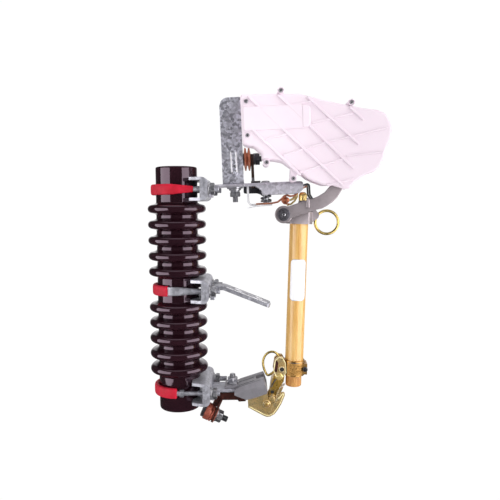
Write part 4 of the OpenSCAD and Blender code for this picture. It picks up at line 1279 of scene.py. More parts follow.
def chute_half(front):
    n = len(CHUTE)
    rad = [5, 20, 20, 20, 30, 30, 25, 14, 10, 12, 16, 16, 20, 12, 12, 10, 10, 10, 8, 8, 5, 5, 6, 6, 6, 6, 8, 10, 10, 8, 4.5, 4, 4, 5, 5, 4.5]
    outline = fillet(CHUTE, rad, 5)
    outer = bmesh.new()
    R = 4.2
    face, seam = (CY0, CYM) if front else (CY1, CYM)
    sgn = 1 if front else -1
    rings = []
    for a in range(0, 91, 15):
        d = R * (1 - math.sin(math.radians(a)))
        y = face + sgn * R * (1 - math.cos(math.radians(a)))
        ring = safe_inset(outline, d)
        rings.append(ring_verts(outer, [(x, y, z) for x, z in ring]))
    rings.append(ring_verts(outer, [(x, seam, z) for x, z in outline]))
    for a, b in zip(rings, rings[1:]):
        bridge(outer, a, b)
    outer.faces.new(rings[0])
    outer.faces.new(rings[-1])

    wall = 2.6
    u_in = []
    for i in range(n):
        a, b, c = Vector(CHUTE[i - 1]), Vector(CHUTE[i]), Vector(CHUTE[(i + 1) % n])
        u, v = (b - a).normalized(), (c - b).normalized()
        m = Vector((u.y + v.y, -u.x - v.x))
        k = 1 + u.dot(v)
        d = -4 if 13 < i <= 26 else wall
        q = b + m * d / k
        u_in.append((q.x, q.y))
    inner_line = fillet(u_in, [r * 0.8 for r in rad], 4)
    inner = bmesh.new()
    prism_y(inner, inner_line, min(face + sgn * wall, seam + sgn * 1), max(face + sgn * wall, seam + sgn * 1))
    res = solid_mm(outer, [inner])

    # bosses round the screws, and the ear of the last one
    for i, p in enumerate(SCREWS):
        if front:
            prof = [(CYM, 2.05), (CYM, 4.5), (CY0 + 0.2, 4.7), (CY0 - 0.7, 4.45), (CY0 - 1.1, 3.9), (CY0 - 1.0, 3.4), (CY0 - 0.1, 3.3), (CY0 - 0.1, 2.05)]
        else:
            e = screw_end(i)
            prof = [(CYM, 2.05), (CYM, 4.5), (e - 0.4, 4.5), (e, 4.1), (e, 3.5), (e - 0.3, 3.4), (e - 0.3, 2.05)]
        turned(res, (p[0], 0, p[1]), "Y", prof, 40, cap=False)
    web = bmesh.new()
    prism_y(web, fillet([(104.4, 5.6), (112.6, 5.2), (114.5, 13.8), (106.1, 19.4)], 0.8, 3), CY0 + 1.2 if front else CYM, CYM if front else -16.4)
    web = solid_mm(web, [cyl_y((108.5, 2.8), 4.2, -60, 20, 24)])
    m = bpy.data.meshes.new("w")
    web.to_mesh(m)
    web.free()
    res.from_mesh(m)
    bpy.data.meshes.remove(m)
    ear = bmesh.new()

    diag = [((53, 113), (174, -8)), ((93, 113.6), (189, 14)), ((132, 109.6), (197, 46)), ((188, 94), (204, 78)), ((57, 69), (117, 8))]
    cross = [((104, 99), (138, 105)), ((137, 76), (190, 86)), ((156, 50), (236, 65)), ((69, 56), (104, 63)),
             ((97, 35), (155, 50)), ((118, 11), (178, 27)), ((155, -8), (189, -1)), ((182, 30), (229, 33))]
    if front:
        for a, b in diag:
            bar_soft(res, a, b, 3.2, CY0 + 0.6, CY0 - 2.6, 0.5)
        for a, b in cross:
            bar_soft(res, a, b, 2.6, CY0 + 0.6, CY0 - 1.9, 0.5)
        # raised panel with a brighter strip at its end, and a boxed boss round the screw beside it
        pad_soft(res, [(44, 69), (126, 69), (126, 101), (44, 101)], CY0 + 0.4, CY0 - 2.4, 1.4, 3)
        pad_soft(res, [(123, 69.5), (130, 70.5), (134, 73.5), (134, 96.5), (130, 99.5), (123, 100.5)], CY0 + 0.4, CY0 - 3.3, 1.4, 3)
        pad_soft(res, [(43.5, 57.5), (55, 57.5), (55, 67.2), (43.5, 67.2)], CY0 + 0.4, CY0 - 0.7, 0.8, 2)
    else:
        for a, b in diag[1:4]:
            bar_soft(res, a, b, 2.4, CY1 - 0.6, CY1 + 1.9)
    ear.free()
    name = "Chute_front" if front else "Chute_back"
    finish_mesh(res, name, TOP, ROOT, M["chute"], ["chute_front" if front else "chute_back"], smooth=38, weigh=True)


def chute_screws():
    bm = bmesh.new()
    for i, p in enumerate(SCREWS):
        e = screw_end(i)
        o = (p[0], 0, p[1])
        # pan head with a hexagon recess
        turned(bm, o, "Y", [(CY0 + 0.3, 2.6), (CY0 - 1.0, 2.7), (CY0 - 1.7, 2.4), (CY0 - 2.0, 1.8), (CY0 - 2.0, 1.3), (CY0 - 0.9, 1.05), (CY0 - 0.75, 0.1)], 36)
        turned(bm, o, "Y", [(CY0, 1.96), (e + 0.8, 1.96), (e + 1.4, 1.4)], 24)
        hex_nut(bm, o, "Y", e - 0.25, 1.5, 6.3, 0, turn=0.2 * i, chamfer=(False, True))
    finish_mesh(bm, "Chute_screws", TOP, ROOT, M["screw"], ["chute_screws"], smooth=32)
    # black plugs painted as the shade inside the hexagon recesses
    bm = bmesh.new()
    for p in SCREWS:
        turned(bm, (p[0], 0, p[1]), "Y", [(CY0 - 0.7, 1.35), (CY0 - 1.75, 1.35), (CY0 - 1.55, 0.1)], 20)
    finish_mesh(bm, "Screw_socket_shade", TOP, ROOT, M["black"], [], smooth=32)


# ---------------------------------------------------------------- top terminal and contact
def grooved_jaw(bm, x0, x1, y, z, d, groove_x, groove_d, reach, rim=None):
    disc = bmesh.new()
    c = 1.1
    if rim:
        # a lens: full thickness in the middle, thinner at the rim
        turned(disc, (0, y, z), "X", [(x0, 8.6), (x0 + 0.3, 10.4), (rim[0] - 0.25, d / 2 - 1.9), (rim[0], d / 2 - 0.6), (rim[0] + 0.5, d / 2), (rim[1] - 0.5, d / 2), (rim[1], d / 2 - 0.6), (rim[1] + 0.25, d / 2 - 1.9), (x1 - 0.3, 10.4), (x1, 8.6)], 72)
    else:
        turned(disc, (0, y, z), "X", [(x0, d / 2 - c), (x0 + c * 0.35, d / 2 - c * 0.3), (x0 + c, d / 2), (x1 - c, d / 2), (x1 - c * 0.35, d / 2 - c * 0.3), (x1, d / 2 - c)], 72)
    cuts = [cyl_x(y, z, 9, x0 - 2, x1 + 2, 32)]
    for s in (-1, 1):
        g = bmesh.new()
        revolve(g, [(groove_d / 2, z - 60), (groove_d / 2, z + 60)], 32, "Z", (groove_x, y + s * reach, 0))
        cuts.append(g)
    out = solid_mm(disc, cuts)
    m = bpy.data.meshes.new("j")
    out.to_mesh(m)
    out.free()
    bm.from_mesh(m)
    bpy.data.meshes.remove(m)


def top_terminal():
    bm = bmesh.new()
    grooved_jaw(bm, 42.2, 46.6, 13, 36, 33, 47.1, 5.4, 10, (43.4, 45.6))
    grooved_jaw(bm, 47.6, 52.3, 13, 36, 33, 47.1, 5.4, 10, (48.8, 51.0))
    hub = solid_mm(cyl_x(13, 36, 19, 46.5, 47.7, 48), [cyl_x(13, 36, 9, 40, 55, 32)])
    m = bpy.data.meshes.new("u")
    hub.to_mesh(m)
    hub.free()
    bm.from_mesh(m)
    bpy.data.meshes.remove(m)
    finish_mesh(bm, "Top_terminal_jaws", TOP, ROOT, M["jaw_copper"], ["top_terminal_jaws"], smooth=32, bevel=0.45, seg=2, limit=50)
    from_cad("top_terminal_pad", "Top_terminal_pad", M["bar_dark"], 0.7, 3)
    bm = bmesh.new()
    o = (0, 13, 36)
    hex_nut(bm, o, "X", 37.2, 5, 16.4, 0, turn=0.26)
    turned(bm, o, "X", [(41, 4.4), (58, 4.4)], 32)
    thread(bm, o, "X", 56, 68, 8.9, 1.5, n=28)
    washer(bm, o, "X", 56.35, 2.0, 16.6, 9)
    hex_nut(bm, o, "X", 58.5, 6.6, 16.2, 8.8, turn=0.2)
    finish_mesh(bm, "Top_terminal_bolt", TOP, ROOT, M["dark_nut"], ["top_terminal_bolt"], smooth=30)


def upper_contact():
    bm = bmesh.new()
    o = (71.6, 0, 0)
    turned(bm, o, "Z", [(-31, 3.2), (-30.4, 4.0), (-4, 4.0), (-4, 4.08), (0.5, 4.08), (0.5, 6.4), (1.0, 6.5), (2.4, 5.9), (3.3, 4.6), (3.5, 3.2), (3.5, 1.6), (1.9, 1.3), (1.9, 0.1)])
    finish_mesh(bm, "Contact_bolt", TOP, ROOT, M["plated"], ["contact_bolt"], smooth=32)

    # coil spring round the bolt, its ends ground flat
    bm = bmesh.new()
    pts, turns, n = [], 4.7, 28
    z0, z1 = -24.9, -7.7
    m = int(turns * n)
    for i in range(m + 1):
        f = i / n
        a = 2 * math.pi * f
        k = (f - 0.85) / (turns - 1.7)
        z = z0 + (z1 - z0) * max(0.0, min(1.0, k)) + 0.55 * (min(f, 0.85) + (max(f, turns - 0.85) - (turns - 0.85)) - 0.85)
        pts.append((71.6 + 6.4 * math.cos(a), 6.4 * math.sin(a), z))
    pipe(bm, pts, 1.5, 14)
    finish_mesh(bm, "Contact_spring", TOP, ROOT, M["spring"], ["contact_spring"], smooth=60)

    # the long contact strip: several leaves laid together, curling round the roller and up to the cap
    def leaf(path, r, t, half, cuts=(), cols=2):
        strip = bmesh.new()
        sheet_y(strip, fillet(path, r, 6, closed=False), t, -half, half, cols=cols)
        return solid_mm(strip, list(cuts)) if cuts else strip

    def add(bm, part):
        m = bpy.data.meshes.new("s")
        part.to_mesh(m)
        part.free()
        bm.from_mesh(m)
        bpy.data.meshes.remove(m)

    bm = bmesh.new()
    add(bm, leaf([(57, -29.0), (80, -28.7), (88, -27.4), (93.6, -23.4), (97.6, -19.2), (101.6, -18.1), (106, -20), (112, -19.2), (118, -14.2), (123, -9.4), (130, -6.9)],
                 [0, 6, 6, 5, 4, 4, 5, 5, 5, 6, 0], 2.5, 7, [cyl_z(71.6, 0, 8.3, -40, -20)]))
    add(bm, leaf([(104.5, -31), (97, -30), (94.0, -26), (95.8, -21.6), (100.5, -20.1)], [0, 4, 4, 4, 0], 2.0, 6.4))
    turned(bm, (100.3, 0, -25.2), "Y", [(-5.6, 3.0), (-5.2, 3.9), (-4.6, 4.3), (4.6, 4.3), (5.2, 3.9), (5.6, 3.0)], 40)
    finish_mesh(bm, "Contact_strip", TOP, ROOT, M["copper"], ["contact_strip"], smooth=32, bevel=0.25, seg=2, limit=50)
    finish_mesh(leaf([(44.3, -34.1), (57, -32.2), (80, -31.1)], [0, 6, 0], 1.5, 6, [cyl_z(71.6, 0, 8.3, -40, -20)]), "Contact_leaf", TOP, ROOT, M["white_strip"], ["contact_strip"], smooth=32, bevel=0.25, seg=2, limit=50)
    finish_mesh(leaf([(101, -32.5), (107, -31), (112, -27), (115.4, -21.5), (116.4, -16.2)], [0, 4, 4, 4, 0], 2.3, 6), "Contact_tip", TOP, ROOT, M["cap_brass"], ["contact_strip"], smooth=32, bevel=0.25, seg=2, limit=50)

    finish_mesh(leaf([(104, -25.5), (109, -24.5), (113, -20.5), (116, -15.5)], [0, 4, 4, 0], 3.0, 6.2), "Contact_back_leaf", TOP, ROOT, M["gold"], ["contact_strip"], smooth=32, bevel=0.25, seg=2, limit=50)

    bm = bmesh.new()
    add(bm, leaf([(46.2, -3.6), (46.2, -25), (49.4, -29.6), (53, -30.2), (59, -30.3)], [0, 5, 4, 3, 0], 3.1, 4, cols=1))
    add(bm, leaf([(50, -30.35), (62, -30.3), (80, -29.95)], [0, 5, 0], 0.9, 6, [cyl_z(71.6, 0, 8.3, -40, -20)]))
    finish_mesh(bm, "Backing_spring", TOP, ROOT, M["white_strip"], ["backing_spring"], smooth=32, bevel=0.25, seg=2, limit=50)

    bm = bmesh.new()
    for y0 in (12, -14):
        path = fillet([(124.5, -5.4), (130, -4), (132.4, -6), (132.8, -19), (136.4, -25.4)], [0, 2, 2, 6, 0], 5, closed=False)
        up, down = ribbon(path, 2.5)
        prism_y(bm, up + down[::-1], y0, y0 + 2)
    finish_mesh(bm, "Contact_guide", TOP, ROOT, M["black"], ["contact_guide"], smooth=32, bevel=0.35, seg=2, limit=40)


# ---------------------------------------------------------------- hinge end
def hinge_end():
    from_cad("hinge_bar", "Hinge_bar", M["zinc_dark"], 0.9, 3)
    from_cad("hinge_support", "Hinge_support", M["cast"], 1.3, 3)
    # two dark lines along its top, painted as the shade in two drawn grooves
    bm = bmesh.new()
    for y in (-13, 3):
        pipe(bm, [(86, y, 33.55), (90, y, 35.25), (108, y * 0.93, 41.0)], 0.5, 8)
    # and a painted shade line where the near top edge starts to slope
    pipe(bm, [(84, -19.0, 32.4), (89, -19.0, 34.9), (118, -18.8, 44.1)], 0.45, 8)
    finish_mesh(bm, "Support_shade_lines", BASE, ROOT, M["dark_nut"], [], smooth=60)
    bm = bmesh.new()
    o = (77, 0, 0)
    turned(bm, o, "Z", [(22, 6.6), (22.6, 7.5), (25.9, 7.5), (25.9, 4.15), (30, 4.15)], 48)
    thread(bm, o, "Z", 29, 48, 8.36, 1.25, n=28)
    washer(bm, o, "Z", 34.02, 1.6, 17, 8.4)
    hex_nut(bm, o, "Z", 35.6, 7.4, 14, 8.3, turn=0.12)
    finish_mesh(bm, "Support_bolt", BASE, ROOT, M["plated"], ["support_bolt"], smooth=30)
    from_cad("hook_plates", "Hook_plates", M["gold"], 0.8, 3)
    # painted highlight lines along their outer edges
    hook = [(99, 14), (99.5, 4), (121, -8), (126, -10), (131, -9.5), (137, -6), (141, -1), (147, 9), (152, 21), (152, 24.5), (150, 26), (147, 25), (141, 17.5), (138.9, 12.6)]
    bm = bmesh.new()
    for y in (-19.9, 19.9):
        path = [(x, y, z) for x, z in offset_in(fillet(hook, [0, 2, 6, 3, 3, 3, 3, 6, 3, 1.5, 1.5, 2, 3, 0], 4, closed=False), -2.0)][1:-1]
        pipe(bm, path, 0.75, 8)
    finish_mesh(bm, "Hook_edge_highlights", BASE, ROOT, M["painted_highlight_brass"], [], smooth=60)
    bm = bmesh.new()
    for s in (-1, 1):
        m = bmesh.new()
        o = (125.8, 0, 9.2)
        prof = [(14.5, 3.4), (14.9, 4.4), (16.5, 4.5), (16.5, 2.98), (20.0, 2.98), (20.02, 5.5), (20.6, 5.6), (21.3, 5.3), (21.5, 4.7), (20.9, 4.35), (21.1, 4.05), (22.3, 3.7), (22.8, 2.6), (23.0, 0.3)]
        turned(bm, o, "Y", [(s * x, r) for x, r in prof], 48)
        m.free()
    finish_mesh(bm, "Hook_rivet", BASE, ROOT, M["gold"], ["hook_rivet"], smooth=35)
    from_cad("terminal_bar", "Terminal_bar", M["bar"], 0.9, 3)
    bm = bmesh.new()
    grooved_jaw(bm, -9, -0.12, 0, 0, 25, 0, 4.6, 9)
    grooved_jaw(bm, 0.12, 4.6, 0, 0, 25, 0, 4.6, 9, (0.4, 3.0))
    rim = solid_mm(cyl_x(0, 0, 25, 6.95, 7.95, 64), [cyl_x(0, 0, 9, 6, 9, 32)])
    m = bpy.data.meshes.new("r")
    rim.to_mesh(m)
    rim.free()
    bm.from_mesh(m)
    bpy.data.meshes.remove(m)
    finish_mesh(bm, "Bottom_terminal_jaws", FOOT, ROOT, M["red_copper"], ["bottom_terminal_jaws"], smooth=32, bevel=0.45, seg=2, limit=50)
    bm = bmesh.new()
    o = (0, 0, 0)
    # a T head: two dark shoulders above and below the shank
    turned(bm, o, "X", [(-13.4, 5.2), (-12.6, 6.2), (-9.2, 6.2)], 40)
    for s in (-1, 1):
        prism_y(bm, fillet([(-13.3, s * 5.2), (-9.1, s * 5.2), (-9.1, s * 9.6), (-13.3, s * 9.6)], 1.2, 4), -4.5, 4.5)
    turned(bm, o, "X", [(-10, 4.4), (9, 4.4)], 32)
    thread(bm, o, "X", 16, 26, 8.9, 1.5, n=28)
    finish_mesh(bm, "Bottom_terminal_bolt", FOOT, ROOT, M["dark_nut"], ["bottom_terminal_bolt"], smooth=30)
    bm = bmesh.new()
    washer(bm, o, "X", 8.05, 2.0, 19.6, 9)
    hex_nut(bm, o, "X", 10.1, 7.4, 16.0, 8.8, turn=0.3)
    finish_mesh(bm, "Bottom_terminal_nut", FOOT, ROOT, M["plated"], ["bottom_terminal_bolt"], smooth=30)


# ---------------------------------------------------------------- fuse holder
def holder():
    bm = bmesh.new()
    closed_revolve(bm, [(11.56, -24.6), (12.4, -25), (13.2, -24.2), (13.2, 202.3), (12.5, 203), (7.2, 203), (6.4, 202.2), (6.4, 0), (11.56, 0)], 96)
    finish_mesh(bm, "Fuse_tube", TUBE, HOLDER, M["tube"], ["fuse_tube"], smooth=35)
    bm = bmesh.new()
    closed_revolve(bm, [(7.4, -46), (10.3, -46), (11.2, -45.3), (11.5, -44.2), (11.5, 0), (6.4, 0), (6.4, -45.0)], 80)
    finish_mesh(bm, "Tube_end", TUBE, HOLDER, M["fibre"], ["tube_end"], smooth=35)

    # blank label with round corners, wrapped on the tube's front, and its thin border
    def wrap(a0, a1, z0, z1, r_in, r_out, corner, name, mat, rep):
        bm = bmesh.new()
        w = math.radians(a1 - a0) * 13.2
        cols, rows = 40, 30
        grid_out, grid_in = [], []

        def inset(u, v):
            # clamps a unit-square point into a rounded rectangle
            x = (u - 0.5) * w
            z = z0 + (z1 - z0) * v
            hz = (z1 - z0) / 2
            zc = z - (z0 + z1) / 2
            r = corner
            dx, dz = abs(x) - (w / 2 - r), abs(zc) - (hz - r)
            if dx > 0 and dz > 0:
                q = math.hypot(dx, dz)
                m = max(dx, dz)
                if q > 1e-9:
                    k = m / q
                    dx, dz = dx * k, dz * k
                    x = math.copysign(w / 2 - r + dx, x)
                    zc = math.copysign(hz - r + dz, zc)
            return x, zc + (z0 + z1) / 2

        for g, r in ((grid_out, r_out), (grid_in, r_in)):
            for j in range(rows + 1):
                row = []
                for i in range(cols + 1):
                    u, v = i / cols, j / rows
                    # finer towards the corners
                    v = 0.5 - 0.5 * math.cos(math.pi * v)
                    u = 0.5 - 0.5 * math.cos(math.pi * u)
                    x, z = inset(u, v)
                    a = math.radians((a0 + a1) / 2) + x / 13.2
                    edge = 0.1 if i in (0, cols) or j in (0, rows) else 0
                    rr = r - edge if r is r_out else r
                    row.append(bm.verts.new((rr * math.cos(a), rr * math.sin(a), z)))
                g.append(row)
            for j in range(rows):
                for i in range(cols):
                    bm.faces.new((g[j][i], g[j][i + 1], g[j + 1][i + 1], g[j + 1][i]))
        b_out = [grid_out[0][i] for i in range(cols + 1)] + [grid_out[j][cols] for j in range(1, rows + 1)] + [grid_out[rows][i] for i in range(cols - 1, -1, -1)] + [grid_out[j][0] for j in range(rows - 1, 0, -1)]
        b_in = [grid_in[0][i] for i in range(cols + 1)] + [grid_in[j][cols] for j in range(1, rows + 1)] + [grid_in[rows][i] for i in range(cols - 1, -1, -1)] + [grid_in[j][0] for j in range(rows - 1, 0, -1)]
        bridge(bm, b_out, b_in)
        return finish_mesh(bm, name, TUBE, HOLDER, mat, rep, smooth=50)

    wrap(-140, -40.5, 81, 139, 13.15, 13.55, 5.5, "Tube_label", M["label"], ["tube_label"])
    wrap(-141, -34.5, 80.3, 139.6, 13.1, 13.38, 6, "Label_border", M["label_edge"], [])

    from_cad("upper_casting", "Upper_casting", M["lever"], 1.5, 3, limit=35)
    bm = bmesh.new()
    turned(bm, (180, 0, 0), "Z", [(299, 6), (299.4, 6), (306.2, 6), (306.8, 5.85), (308.6, 5.2), (310.3, 4.0), (310.95, 2.6), (311, 0.3)], 56)
    finish_mesh(bm, "Contact_cap", BASE, HOLDER, M["cap_brass"], ["contact_cap"], smooth=35)
    bm = bmesh.new()
    pts = [(213.9 + 16.5 * math.cos(2 * math.pi * i / 72), 0, 267.8 + 16.5 * math.sin(2 * math.pi * i / 72)) for i in range(72)]
    pipe(bm, pts, 2.0, 18, closed=True)
    finish_mesh(bm, "Pull_ring", BASE, HOLDER, M["ring_brass"], ["pull_ring"], smooth=60)

    from_cad("lower_collar", "Lower_collar", M["bronze"], 0.9, 3, limit=35)
    # knurled bands round the collar
    bm = bmesh.new()
    n, rows = 384, 44
    z0, z1 = -27.9, -10.2
    rings = []
    for j in range(rows + 1):
        z = z0 + (z1 - z0) * j / rows
        ring = []
        for k in range(n):
            a = 2 * math.pi * k / n
            lift = 0.62 * (1 - abs(math.sin(a * 24 + z * 1.15))) ** 0.8 * (1 - abs(math.sin(a * 24 - z * 1.15))) ** 0.8 + 0.3 * max(1 - abs(math.sin(a * 24 + z * 1.15)) * 2.2, 1 - abs(math.sin(a * 24 - z * 1.15)) * 2.2, 0)
            if j in (0, rows):
                lift = -0.3
            r = 15.2 + min(0.6, lift)
            ring.append(bm.verts.new((r * math.cos(a), r * math.sin(a), z)))
        rings.append(ring)
    lo = [bm.verts.new((14.4 * math.cos(2 * math.pi * k / n), 14.4 * math.sin(2 * math.pi * k / n), z0)) for k in range(n)]
    hi = [bm.verts.new((14.4 * math.cos(2 * math.pi * k / n), 14.4 * math.sin(2 * math.pi * k / n), z1)) for k in range(n)]
    rings = [lo] + rings + [hi]
    for a, b in zip(rings, rings[1:]):
        bridge(bm, a, b)
    bridge(bm, hi, lo)
    # open where the collar's lug and the link stand
    bmesh.ops.recalc_face_normals(bm, faces=bm.faces)
    bm2 = solid_mm(bm, [box_bm(8.6, 20, -10.6, 10.6, -40, 0), box_bm(-30, -8.2, -12, 12, -40, 0)])
    finish_mesh(bm2, "Collar_knurl", TUBE, HOLDER, M["bronze"], [], smooth=25)
    # a black ring painted as the shade of the groove at the collar's top
    bm = bmesh.new()
    closed_revolve(bm, [(15.0, -10.1), (15.3, -10.0), (15.3, -9.3), (15.0, -9.2)], 96)
    bm = solid_mm(bm, [box_bm(8.6, 20, -10.6, 10.6, -40, 0), box_bm(-30, -8.2, -12, 12, -40, 0)])
    finish_mesh(bm, "Collar_groove_shade", TUBE, HOLDER, M["black"], [], smooth=25)
    bm = bmesh.new()
    o = (15.4, 0, -19)
    turned(bm, o, "Y", [(-13.8, 1.4), (-13.1, 1.5), (-13.1, 2.0), (-13.8, 2.3), (-13.6, 3.1), (-13.0, 3.5), (-10.45, 3.5), (-10.45, 1.98), (12, 1.98)], 32)
    hex_nut(bm, o, "Y", 10.45, 2.5, 6.9, 0, turn=0.3)
    finish_mesh(bm, "Collar_bolt", TUBE, HOLDER, M["black"], ["collar_bolt"], smooth=30)

    from_cad("trunnion_link", "Trunnion_link", M["gold"], 1.1, 3, limit=35)
    bm = bmesh.new()
    turned(bm, (P1[0], 0, P1[1]), "Y", [(-19.6, 3.6), (-19.3, 4.5), (-18.8, 4.8), (18.8, 4.8), (19.3, 4.5), (19.6, 3.6)], 48)
    turned(bm, (P2[0], 0, P2[1]), "Y", [(-11.9, 3.1), (-12.8, 3.15), (-12.8, 3.9), (-12.4, 4.3), (-11.25, 4.3), (-11.25, 2.48), (11.25, 2.48), (11.25, 4.3), (12.4, 4.3), (12.8, 3.9), (12.8, 3.15), (11.9, 3.1)], 40)
    finish_mesh(bm, "Trunnion_pin", BASE, HOLDER, M["gold"], ["trunnion_pin"], smooth=35)
    # dark discs painted as the shade in the pins' drilled ends
    bm = bmesh.new()
    for s in (-1, 1):
        turned(bm, (P2[0], 0, P2[1]), "Y", [(s * 11.6, 3.08), (s * 12.0, 3.08), (s * 12.1, 1.2), (s * 12.1, 0.1)], 32)
    turned(bm, (134.4, 0, 23.4), "Y", [(-10.7, 2.7), (-10.95, 2.6), (-10.95, 0.1)], 24)
    finish_mesh(bm, "Toggle_pin_end", BASE, HOLDER, M["pit"], ["trunnion_pin"], smooth=35)
    bm = bmesh.new()
    turned(bm, (144.6, 0, 46.2), "Y", [(-10.4, 5.6), (-11.0, 5.4), (-11.45, 4.5), (-11.7, 3.0), (-11.8, 0.2)], 40)
    finish_mesh(bm, "Link_boss", BASE, HOLDER, M["cap_brass"], ["trunnion_link"], smooth=40)
    # painted highlight lines round the link's ear
    bm = bmesh.new()
    ear = [(139, 46), (151, 45), (155, 52), (154, 66), (150, 74), (144, 75), (138.5, 70), (136, 55)]
    for y in (-11.1, 11.1):
        pipe(bm, [(x, y, z) for x, z in offset_in(fillet(ear, [3] * 8, 4), -0.7)], 0.7, 8, closed=True)
    finish_mesh(bm, "Link_edge_highlights", BASE, HOLDER, M["painted_highlight_brass"], [], smooth=60)
    # a dark red-brown plate painted as the shade in the link's recess
    bm = bmesh.new()
    prism_y(bm, fillet([(137.4, 53), (141.4, 53), (143.4, 66), (141, 70.5), (138.6, 67)], 1.2, 3), -11.55, -10.9)
    finish_mesh(bm, "Link_recess_shade", BASE, HOLDER, M["bar"], [], smooth=40, bevel=0.15, seg=1)
    # a black line painted as the shade in the link's slot
    bm = bmesh.new()
    pipe(bm, [(133.6, -10.7, 31), (134.6, -10.7, 34), (136.8, -10.8, 38.5), (140.2, -10.9, 42.2)], 0.85, 8)
    finish_mesh(bm, "Link_slot_shade", BASE, HOLDER, M["black"], [], smooth=60)

    def egg(t):
        a = 11.8 * math.cos(t) * (1 - 0.45 * math.sin(t) ** 2 if math.sin(t) < 0 else 1)
        b = 14.5 * math.sin(t) if math.sin(t) > 0 else 21 * math.sin(t)
        c, s = math.cos(math.radians(14)), math.sin(math.radians(14))
        return (133.6 + a * c + b * s, 0, 65.5 - a * s + b * c)

    bm = bmesh.new()
    pipe(bm, [egg(2 * math.pi * i / 96) for i in range(96)], 1.7, 16, closed=True)
    finish_mesh(bm, "Lifting_ring", BASE, HOLDER, M["ring_brass"], ["lifting_ring"], smooth=60)
    bm = bmesh.new()
    sheet_y(bm, fillet([(140.3, 17.83), (143.6, 25.75), (153.3, 31.6)], [0, 5, 0], 8, closed=False), 1.2, -4, 4)
    finish_mesh(bm, "Flipper_strip", BASE, HOLDER, M["white_strip"], ["flipper_strip"], smooth=35, bevel=0.2, seg=2, limit=50)


def lever():
    from_cad("breaker_blade", "Breaker_blade", M["lever"], 1.0, 3, limit=30)
    bm = bmesh.new()
    o = (HUB[0], 0, HUB[1])
    turned(bm, o, "Y", [(-29.4, 1.6), (-28.7, 1.8), (-28.7, 2.6), (-29.3, 3.1), (-29.3, 5.2), (-28.6, 5.8), (-28.6, 7.6), (-28.0, 8.8), (-27.2, 9.0), (-26.0, 9.0), (-26.0, 3.95), (-20, 3.95), (-20, 7), (-15.3, 7), (-15.3, 3.95), (-5, 3.95)], 64)
    finish_mesh(bm, "Blade_hub", BASE, LEVER, M["hub"], ["blade_hub"], smooth=32)
    bm = bmesh.new()
    turned(bm, o, "Y", [(-28.5, 2.2), (-29.1, 2.1), (-29.35, 1.6), (-29.4, 0.2)], 32)
    finish_mesh(bm, "Hub_pin", BASE, LEVER, M["bright"], [], smooth=35)


insulator()
clamps()
saddles()
strap()
channel()
upright_plate()
chute_half(True)
chute_half(False)
chute_screws()
top_terminal()
upper_contact()
hinge_end()
holder()
lever()


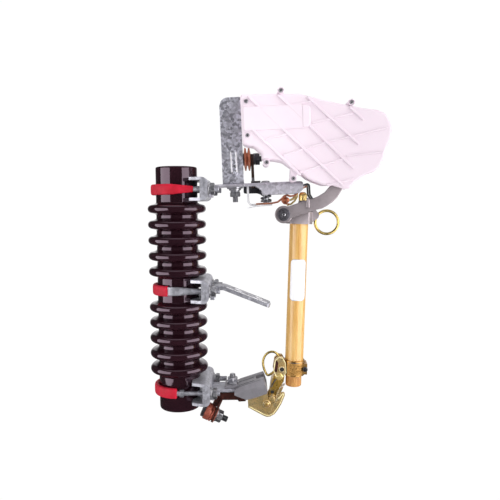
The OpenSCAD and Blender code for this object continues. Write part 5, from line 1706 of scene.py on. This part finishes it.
# ---------------------------------------------------------------- floor, light and camera
def stage():
    bm = bmesh.new()
    n = 64
    ring = [bm.verts.new((3 * math.cos(2 * math.pi * k / n), 3 * math.sin(2 * math.pi * k / n), -0.56)) for k in range(n)]
    bm.faces.new(ring)
    mesh = bpy.data.meshes.new("Floor")
    bm.to_mesh(mesh)
    bm.free()
    o = bpy.data.objects.new("Floor", mesh)
    bpy.context.scene.collection.objects.link(o)
    n = Nodes("pale_floor")
    n.set(Base_Color=n.mix(n.noise(6, 3), (0.88, 0.88, 0.885), (0.91, 0.91, 0.912)), Roughness=0.8)
    lp = n.t.nodes.new("ShaderNodeLightPath")
    em = n.t.nodes.new("ShaderNodeEmission")
    em.inputs["Color"].default_value = (1, 1, 1, 1)
    em.inputs["Strength"].default_value = 1.02
    mx = n.t.nodes.new("ShaderNodeMixShader")
    n.t.links.new(lp.outputs["Is Camera Ray"], mx.inputs[0])
    n.t.links.new(n.b.outputs[0], mx.inputs[1])
    n.t.links.new(em.outputs[0], mx.inputs[2])
    n.t.links.new(mx.outputs[0], n.out.inputs[0])
    mesh.materials.append(n.m)
    o.visible_glossy = False

    w = bpy.data.worlds.new("studio")
    bpy.context.scene.world = w
    w.use_nodes = True
    t = w.node_tree
    t.nodes.clear()
    out = t.nodes.new("ShaderNodeOutputWorld")
    tc = t.nodes.new("ShaderNodeTexCoord")
    sep = t.nodes.new("ShaderNodeSeparateXYZ")
    t.links.new(tc.outputs["Generated"], sep.inputs[0])

    def mth(op, a, b=None):
        nd = t.nodes.new("ShaderNodeMath")
        nd.operation = op
        for s, v in zip(nd.inputs, (a, b)):
            if isinstance(v, bpy.types.NodeSocket):
                t.links.new(v, s)
            elif v is not None:
                s.default_value = v
        return nd.outputs[0]

    def step(v, a, b):
        nd = t.nodes.new("ShaderNodeMapRange")
        nd.interpolation_type = "SMOOTHSTEP"
        t.links.new(v, nd.inputs[0])
        for s, x in zip(nd.inputs[1:5], (a, b, 0, 1)):
            s.default_value = x
        return nd.outputs[0]

    def window(v, a, b, soft):
        return mth("MULTIPLY", step(v, a - soft, a + soft), step(v, b + soft, b - soft))

    x, y, z = sep.outputs
    az = mth("MULTIPLY", mth("ARCTAN2", x, mth("MULTIPLY", y, -1)), 180 / math.pi)
    el = mth("MULTIPLY", mth("ARCSINE", z), 180 / math.pi)
    left = mth("MULTIPLY", window(az, -94, -37, 2), mth("MULTIPLY", window(el, -34, 14, 4), 0.52))
    right = mth("MULTIPLY", window(az, 29, 84, 2), mth("MULTIPLY", window(el, -22, 38, 4), 0.84))
    lp = t.nodes.new("ShaderNodeLightPath")
    mirror = lp.outputs["Is Glossy Ray"]
    soft = mth("SUBTRACT", 1, mirror)
    # the two soft boxes are far away for matt surfaces; what mirrors them sees the panels below
    total = mth("MULTIPLY", mth("MULTIPLY", mth("ADD", left, right), 3.9), soft)
    behind = mth("ADD", mth("MULTIPLY", step(y, 0.1, 0.5), soft), mth("MULTIPLY", step(y, 0.80, 0.97), mirror))
    above = mth("MULTIPLY", step(z, 0.75, 0.95), 1.2)
    total = mth("ADD", mth("ADD", total, behind), mth("ADD", above, 0.06))
    # a soft fill that only lights, and isn't mirrored in the glaze
    total = mth("ADD", total, mth("MULTIPLY", lp.outputs["Is Diffuse Ray"], 0.42))
    bg = t.nodes.new("ShaderNodeBackground")
    bg.inputs["Color"].default_value = (1, 0.99, 1, 1)
    t.links.new(total, bg.inputs["Strength"])
    white = t.nodes.new("ShaderNodeBackground")
    white.inputs["Color"].default_value = (1, 1, 1, 1)
    white.inputs["Strength"].default_value = 1.02
    mx = t.nodes.new("ShaderNodeMixShader")
    t.links.new(lp.outputs["Is Camera Ray"], mx.inputs[0])
    t.links.new(bg.outputs[0], mx.inputs[1])
    t.links.new(white.outputs[0], mx.inputs[2])
    t.links.new(mx.outputs[0], out.inputs[0])

    for name, az_deg, wide in (("Panel_left", -57.4, 0.61), ("Panel_right", 64.1, 0.573)):
        a = math.radians(az_deg)
        out_dir = Vector((math.sin(a), -math.cos(a), 0))
        side = Vector((math.cos(a), math.sin(a), 0))
        mid = Vector((-0.1014, 0, -0.005)) + out_dir * 0.55
        bm = bmesh.new()
        bm.faces.new([bm.verts.new(mid + side * (wide / 2 * u) + Vector((0, 0, 0.295 * v))) for u, v in ((-1, -1), (1, -1), (1, 1), (-1, 1))])
        mesh = bpy.data.meshes.new(name)
        bm.to_mesh(mesh)
        bm.free()
        o = bpy.data.objects.new(name, mesh)
        bpy.context.scene.collection.objects.link(o)
        m = bpy.data.materials.new(name)
        m.use_nodes = True
        m.node_tree.nodes.clear()
        e = m.node_tree.nodes.new("ShaderNodeEmission")
        e.inputs["Color"].default_value = (1, 0.99, 1, 1)
        e.inputs["Strength"].default_value = 3.9
        mo = m.node_tree.nodes.new("ShaderNodeOutputMaterial")
        m.node_tree.links.new(e.outputs[0], mo.inputs[0])
        mesh.materials.append(m)
        o.visible_camera = o.visible_diffuse = o.visible_transmission = o.visible_volume_scatter = o.visible_shadow = False

    cam = bpy.data.cameras.new("camera")
    cam.lens = 39.24
    cam.sensor_width = 36
    cam.shift_y = 0.0012
    co = bpy.data.objects.new("camera", cam)
    bpy.context.scene.collection.objects.link(co)
    co.matrix_world = Matrix.Translation((0.00242, -0.7815, 0.12218)) @ Matrix.Rotation(math.radians(85.674), 4, "X") @ Matrix.Rotation(-0.008, 4, "Z")
    cam.clip_start = 0.01
    bpy.context.scene.camera = co
    bpy.context.scene.view_settings.view_transform = "Standard"


stage()
